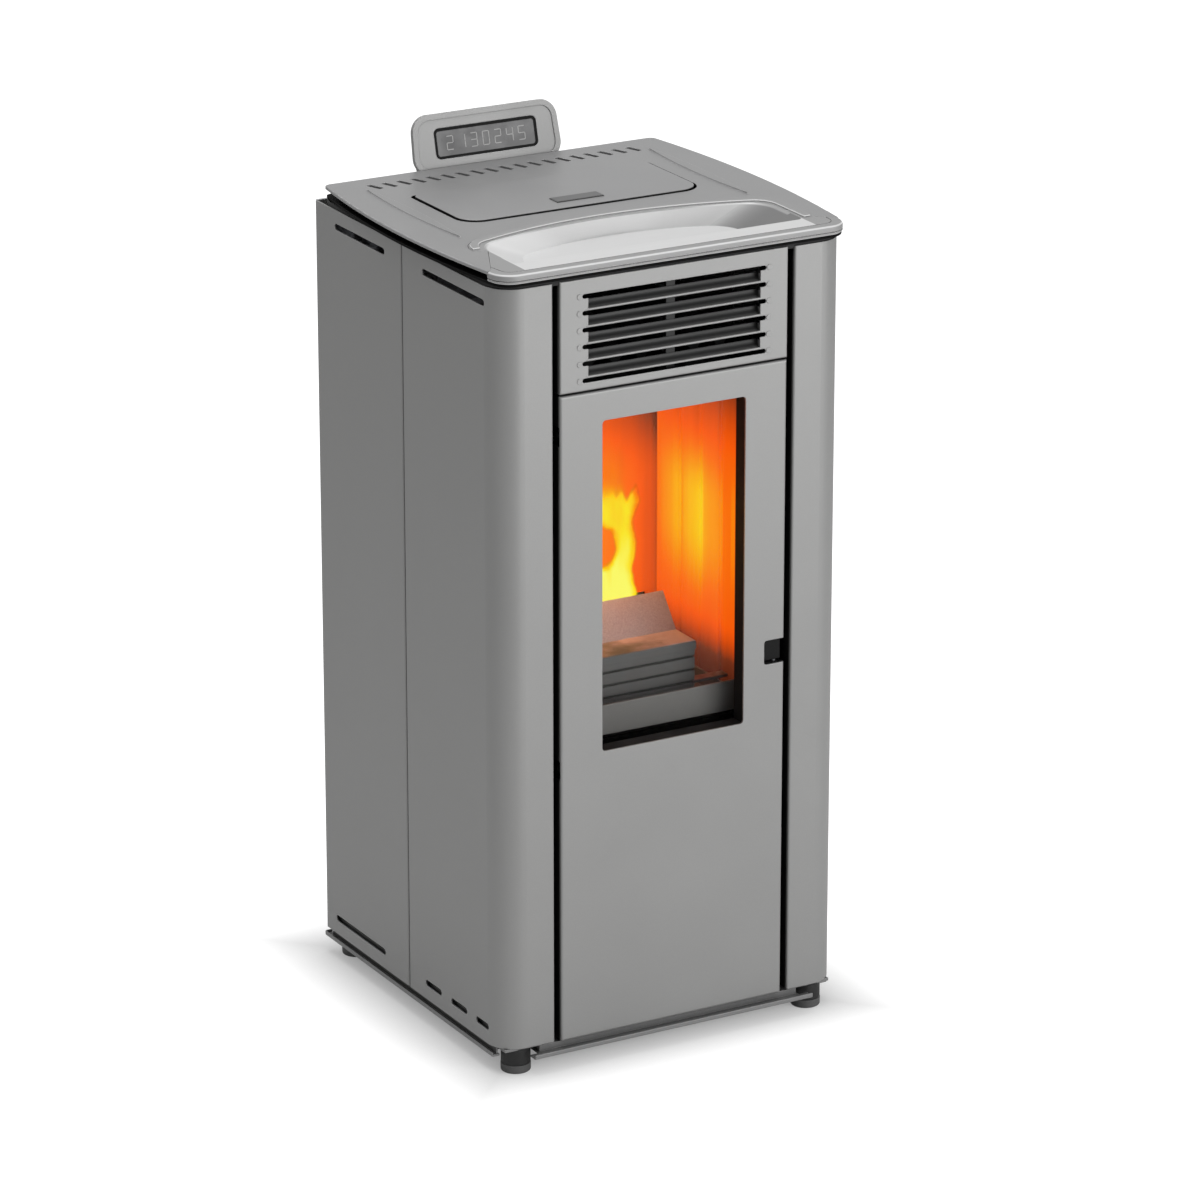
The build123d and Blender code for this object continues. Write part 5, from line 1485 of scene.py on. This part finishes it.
@dataclass
class Flame:
    """One upright sheet of burning gas: its turn in degrees, its size and its finish."""

    turn: float
    half_width: float
    tall: float
    finish: FlameSheet
    columns: int = 16
    rows: int = 32
    curl: float = 0.006
    curl_turns: float = 5.5
    bow: float = 0.05

    def mesh(self, foot: Point) -> BMesh:
        """Make the sheet: a fine grid stood up, curled and turned.

        Args:
            foot: the middle of its foot.

        Returns:
            The sheet's mesh.
        """
        shape = bmesh.new()
        layer = shape.loops.layers.uv.new("flame")
        bmesh.ops.create_grid(
            shape, x_segments=self.columns, y_segments=self.rows, size=0.5, calc_uvs=True
        )
        wide = 2 * self.half_width
        for face in shape.faces:
            for loop in face.loops:
                loop[layer].uv = (wide * loop.vert.co.x, self.tall * (loop.vert.co.y + 0.5))
        for vert in shape.verts:
            u, v = vert.co.x, vert.co.y + 0.5
            curl = self.curl * math.sin(self.curl_turns * v) * v
            bow = self.bow * self.half_width * math.cos(math.pi * u)
            vert.co = Vector((wide * u, curl - bow, self.tall * v))
        upright = Matrix.Rotation(math.radians(-self.turn), 3, "Z")
        bmesh.ops.rotate(shape, cent=(0, 0, 0), matrix=upright, verts=shape.verts)
        bmesh.ops.translate(shape, vec=foot, verts=shape.verts)
        return shape


@dataclass
class Fire:
    """The flames over the burn pot, and the warm light they throw."""

    foot: Point = (0.0, behind(0.158), 0.418)
    lamp_z: float = 0.50
    lamp_power: float = 1.2
    lamp_radius: float = 0.03
    lamp_tint: Colour = (1.0, 0.42, 0.14)
    flames: Tuple[Flame, ...] = (
        Flame(29.5, 0.052, 0.190, FlameSheet("flame_gas_wide", 3.6, plume=0.060)),
        Flame(
            -60.5,
            0.030,
            0.165,
            FlameSheet("flame_gas_narrow", 9.2, reach=0.021, top=0.112, has_gap=False),
        ),
    )

    def build(self) -> None:
        """Build the sheets, and hang a small warm lamp in the fire that nobody sees."""
        for number, flame in enumerate(self.flames):
            name = f"flame_{number}"
            add_piece(name, flame.mesh(self.foot), "cabinet", flame.finish)
        light = bpy.data.lights.new("fire_light", "POINT")
        light.energy = self.lamp_power
        light.color = self.lamp_tint
        light.shadow_soft_size = self.lamp_radius
        lamp = link(bpy.data.objects.new("fire_light", light))
        lamp.location = (*self.foot[:2], self.lamp_z)
        for ray in ("camera", "glossy", "transmission"):
            setattr(lamp, f"visible_{ray}", False)


class Figure(Enum):
    """Plain seven-segment figures: which of the segments a to g are lit."""

    ZERO = "abcdef"
    ONE = "bc"
    TWO = "abged"
    THREE = "abgcd"
    FOUR = "fgbc"
    FIVE = "afgcd"


@dataclass
class Display:
    """The control panel's screen: a dark border and seven plain figures."""

    border_finish: Finish
    figure_finish: Finish
    low: float = 0.0155
    high: float = 0.0478
    half: float = 0.060
    corner: float = 0.006
    corner_steps: int = 6
    border: float = 0.0032
    border_start: float = 0.0001
    lean: float = 14.0
    painted_shadow_glow: float = 0.00018
    figure_wide: float = 0.0072
    figure_tall: float = 0.0140
    stroke: float = 0.0009
    pitch: float = 0.0140
    figures: Tuple[Figure, ...] = (
        Figure.TWO, Figure.ONE, Figure.THREE, Figure.ZERO, Figure.TWO, Figure.FOUR, Figure.FIVE,
    )

    @property
    def middle(self) -> float:
        """How far up the panel the screen's middle is."""
        return (self.low + self.high) / 2

    def lay(self, name: str, shape: BMesh, finish: Finish) -> None:
        """Lean a flat drawing back onto the screen, as a thin piece just over it.

        Args:
            name: the piece's name.
            shape: the drawing, X across and Y up the panel from its foot.
            finish: its finish.
        """
        back, rise = math.sin(math.radians(self.lean)), math.cos(math.radians(self.lean))
        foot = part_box("display_window")[0]
        for vert in shape.verts:
            up = vert.co.y - self.low
            y = foot.y + up * back - self.painted_shadow_glow * rise
            vert.co = Vector((vert.co.x, y, foot.z + up * rise + self.painted_shadow_glow * back))
        bmesh.ops.recalc_face_normals(shape, faces=shape.faces)
        if shape.faces[0].normal.y > 0:
            bmesh.ops.reverse_faces(shape, faces=shape.faces)
        add_piece(name, shape, "cabinet", finish, smooth=False)

    def outline(self, shape: BMesh, inset: float) -> List[BMEdge]:
        """Draw the screen's rounded outline.

        Args:
            shape: the mesh to draw in.
            inset: how far it moves in, in metres.

        Returns:
            Its edges.
        """
        radius = self.corner - inset
        across = self.half - inset - radius
        up = (self.high - self.low) / 2 - inset - radius
        verts = []
        for turn, (side, end) in enumerate(((1, 1), (-1, 1), (-1, -1), (1, -1))):
            for step in range(self.corner_steps + 1):
                angle = math.pi / 2 * (turn + step / self.corner_steps)
                x = side * across + radius * math.cos(angle)
                y = self.middle + end * up + radius * math.sin(angle)
                verts.append(shape.verts.new((x, y, 0.0)))
        return [shape.edges.new((verts[k - 1], verts[k])) for k in range(len(verts))]

    def draw_border(self) -> BMesh:
        """Draw the dark border between two outlines."""
        ring = bmesh.new()
        edges = [self.outline(ring, inset) for inset in (self.border_start, self.border)]
        bmesh.ops.bridge_loops(ring, edges=sum(edges, []))
        return ring

    def draw_figures(self) -> BMesh:
        """Draw every lit segment of the figures as a small flat bar."""
        shape = bmesh.new()
        wide, tall = self.figure_wide / 2, self.figure_tall / 2
        flat_bars = {"a": tall, "g": 0, "d": -tall}
        bars = {"f": (-wide, tall / 2), "b": (wide, tall / 2)}
        bars.update({"e": (-wide, -tall / 2), "c": (wide, -tall / 2)})
        bars.update({segment: (0, up) for segment, up in flat_bars.items()})
        first = -self.pitch * (len(self.figures) - 1) / 2
        for number, figure in enumerate(self.figures):
            for segment in figure.value:
                x, y = bars[segment]
                flat = segment in flat_bars
                length = (self.figure_wide if flat else tall) - self.stroke * 0.6
                size = (length, self.stroke, 1) if flat else (self.stroke, length, 1)
                where = (first + number * self.pitch + x, self.middle + y, 0)
                grid = bmesh.ops.create_grid(shape, x_segments=1, y_segments=1, size=0.5)
                bmesh.ops.scale(shape, vec=size, verts=grid["verts"])
                bmesh.ops.translate(shape, vec=where, verts=grid["verts"])
        return shape

    def build(self) -> None:
        """Lay the border and the figures over the screen."""
        self.lay("display_border", self.draw_border(), self.border_finish)
        self.lay("display_figures", self.draw_figures(), self.figure_finish)


@dataclass
class LidPlate:
    """The plain dark plate let into the hopper lid's raised pad, from corner to corner."""

    finish: Finish
    low: Point = (-0.0215, behind(0.1985), 0.8483)
    high: Point = (0.0315, behind(0.2145), 0.8486)
    edge: float = 0.00012

    def build(self) -> None:
        """Build the plate with softly broken edges."""
        shape = bmesh.new()
        bmesh.ops.create_cube(shape, size=1.0)
        low, high = Vector(self.low), Vector(self.high)
        bmesh.ops.scale(shape, vec=high - low, verts=shape.verts)
        bmesh.ops.translate(shape, vec=(low + high) / 2, verts=shape.verts)
        bmesh.ops.bevel(shape, geom=shape.edges, offset=self.edge, segments=2, affect="EDGES")
        add_piece("lid_plate", shape, "lid", self.finish, smooth=False)


@dataclass(frozen=True)
class Lamp:
    """A square soft lamp: where it hangs, what it points at, its side and its power in watts."""

    name: str
    at: Point
    aim: Point
    side: float
    power: float

    def hang(self) -> None:
        """Hang the lamp in the scene."""
        light = bpy.data.lights.new(self.name, "AREA")
        light.size = self.side
        light.energy = self.power
        lamp = link(bpy.data.objects.new(self.name, light))
        lamp.location = self.at
        way = Vector(self.aim) - Vector(self.at)
        lamp.rotation_euler = way.to_track_quat("-Z", "Y").to_euler()


@dataclass
class Studio:
    """The white floor, the soft lamps and the camera."""

    camera_at: Point = (-2.8225, -5.0485, 2.4418)
    pitch: float = 0.3367
    yaw: float = 0.5148
    lens: float = 178.03
    sensor: float = 36.0
    far: float = 100.0
    floor_half: float = 14.0
    room_light: float = 0.42
    mirrored_light: float = 0.85
    lamps: Tuple[Lamp, ...] = (
        Lamp("front_lamp", at=(1.5, -3.4, 1.1), aim=(0.0, -0.2, 0.4), side=2.2, power=61.0),
        Lamp("top_lamp", at=(-0.2, 0.3, 3.2), aim=(0.0, 0.0, 0.8), side=2.0, power=34.0),
    )

    def floor(self) -> None:
        """Lay the white floor."""
        shape = bmesh.new()
        bmesh.ops.create_grid(shape, x_segments=1, y_segments=1, size=self.floor_half)
        floor = make_object("floor", shape, WhiteFloor("floor_white").material())

    def world(self) -> None:
        """Light the room evenly, and show it white to the camera and in reflections."""
        world = bpy.data.worlds.new("room")
        world.use_nodes = True
        graph = Graph(world.node_tree)
        rays, seen = graph.seen()
        mirrored = graph.times(rays["Is Glossy Ray"], self.mirrored_light)
        level = graph.larger(graph.larger(seen, mirrored), self.room_light)
        light = graph.fill(graph.add("Background"), Strength=level)
        graph.fill(graph.add("OutputWorld"), Surface=light.outputs[0])
        bpy.context.scene.world = world

    def camera(self) -> None:
        """Stand the camera at the photograph's viewing angle."""
        data = bpy.data.cameras.new("camera")
        data.sensor_width = self.sensor
        data.lens = self.lens
        data.clip_end = self.far
        camera = link(bpy.data.objects.new("camera", data))
        camera.location = self.camera_at
        camera.rotation_euler = (math.pi / 2 - self.pitch, 0.0, -self.yaw)
        bpy.context.scene.camera = camera

    def build(self) -> None:
        """Set up the whole studio."""
        bpy.context.scene.view_settings.view_transform = "Standard"
        self.floor()
        self.world()
        for lamp in self.lamps:
            lamp.hang()
        self.camera()


@dataclass
class Stove:
    """The whole dressed stove."""

    finishes: Finishes = field(default_factory=Finishes)
    fire: Fire = field(default_factory=Fire)

    def seals(self) -> Tuple[Tuple[RopeSeal, str, str], ...]:
        """Each soft seal, with its body and material slot."""
        door_rope = RopeSeal(
            "door_rope",
            "door_seal",
            half_width=0.1085,
            low=0.3055,
            high=0.7005,
            corner=0.012,
            depth=0.0262,
            radius_x=0.0047,
            radius_y=0.0072,
            finish=BraidedRope("rope_grey", (0.30, 0.30, 0.28)),
        )
        glass_rope = RopeSeal(
            "glass_rope",
            "glass_gasket",
            half_width=0.0890,
            low=0.3270,
            high=0.6890,
            corner=0.006,
            depth=0.0195,
            radius_x=0.0030,
            radius_y=0.0005,
            finish=BraidedRope("rope_white", (0.45, 0.45, 0.42), pitch=300.0, turns=5.0),
        )
        lid_foam = LidSeal(
            "lid_foam",
            "lid_seal",
            half_width=0.120,
            low=0.190,
            high=0.280,
            corner=0.008,
            radius_x=0.0038,
            radius_y=0.00172,
            finish=self.finishes.foam,
        )
        # painted shade: a black strip that fills the gap under the top plate, where shade falls
        top_shade_strip = LidSeal(
            "top_shade_strip",
            "",
            half_width=0.1958,
            low=0.0032,
            high=0.3848,
            corner=0.0268,
            radius_x=0.0016,
            radius_y=0.0034,
            finish=self.finishes.foam,
            level=0.8295,
        )
        return (
            (door_rope, "door", "rope_seal"),
            (glass_rope, "door", "rope_seal"),
            (lid_foam, "lid", "black_rubber"),
            (top_shade_strip, "cabinet", "black_rubber"),
        )

    def build(self) -> None:
        """Dress the CAD nodes and build the scene's own pieces."""
        self.finishes.dress()
        for seal, body, slot in self.seals():
            seal.build(body, slot)
        self.fire.build()
        Display(self.finishes.bezel, self.finishes.figure).build()
        LidPlate(self.finishes.plate).build()


def main() -> None:
    """Build the stove and its studio."""
    logging.basicConfig(level=logging.INFO, format="%(message)s")
    Stove().build()
    Studio().build()


if __name__ == "__main__":
    main()
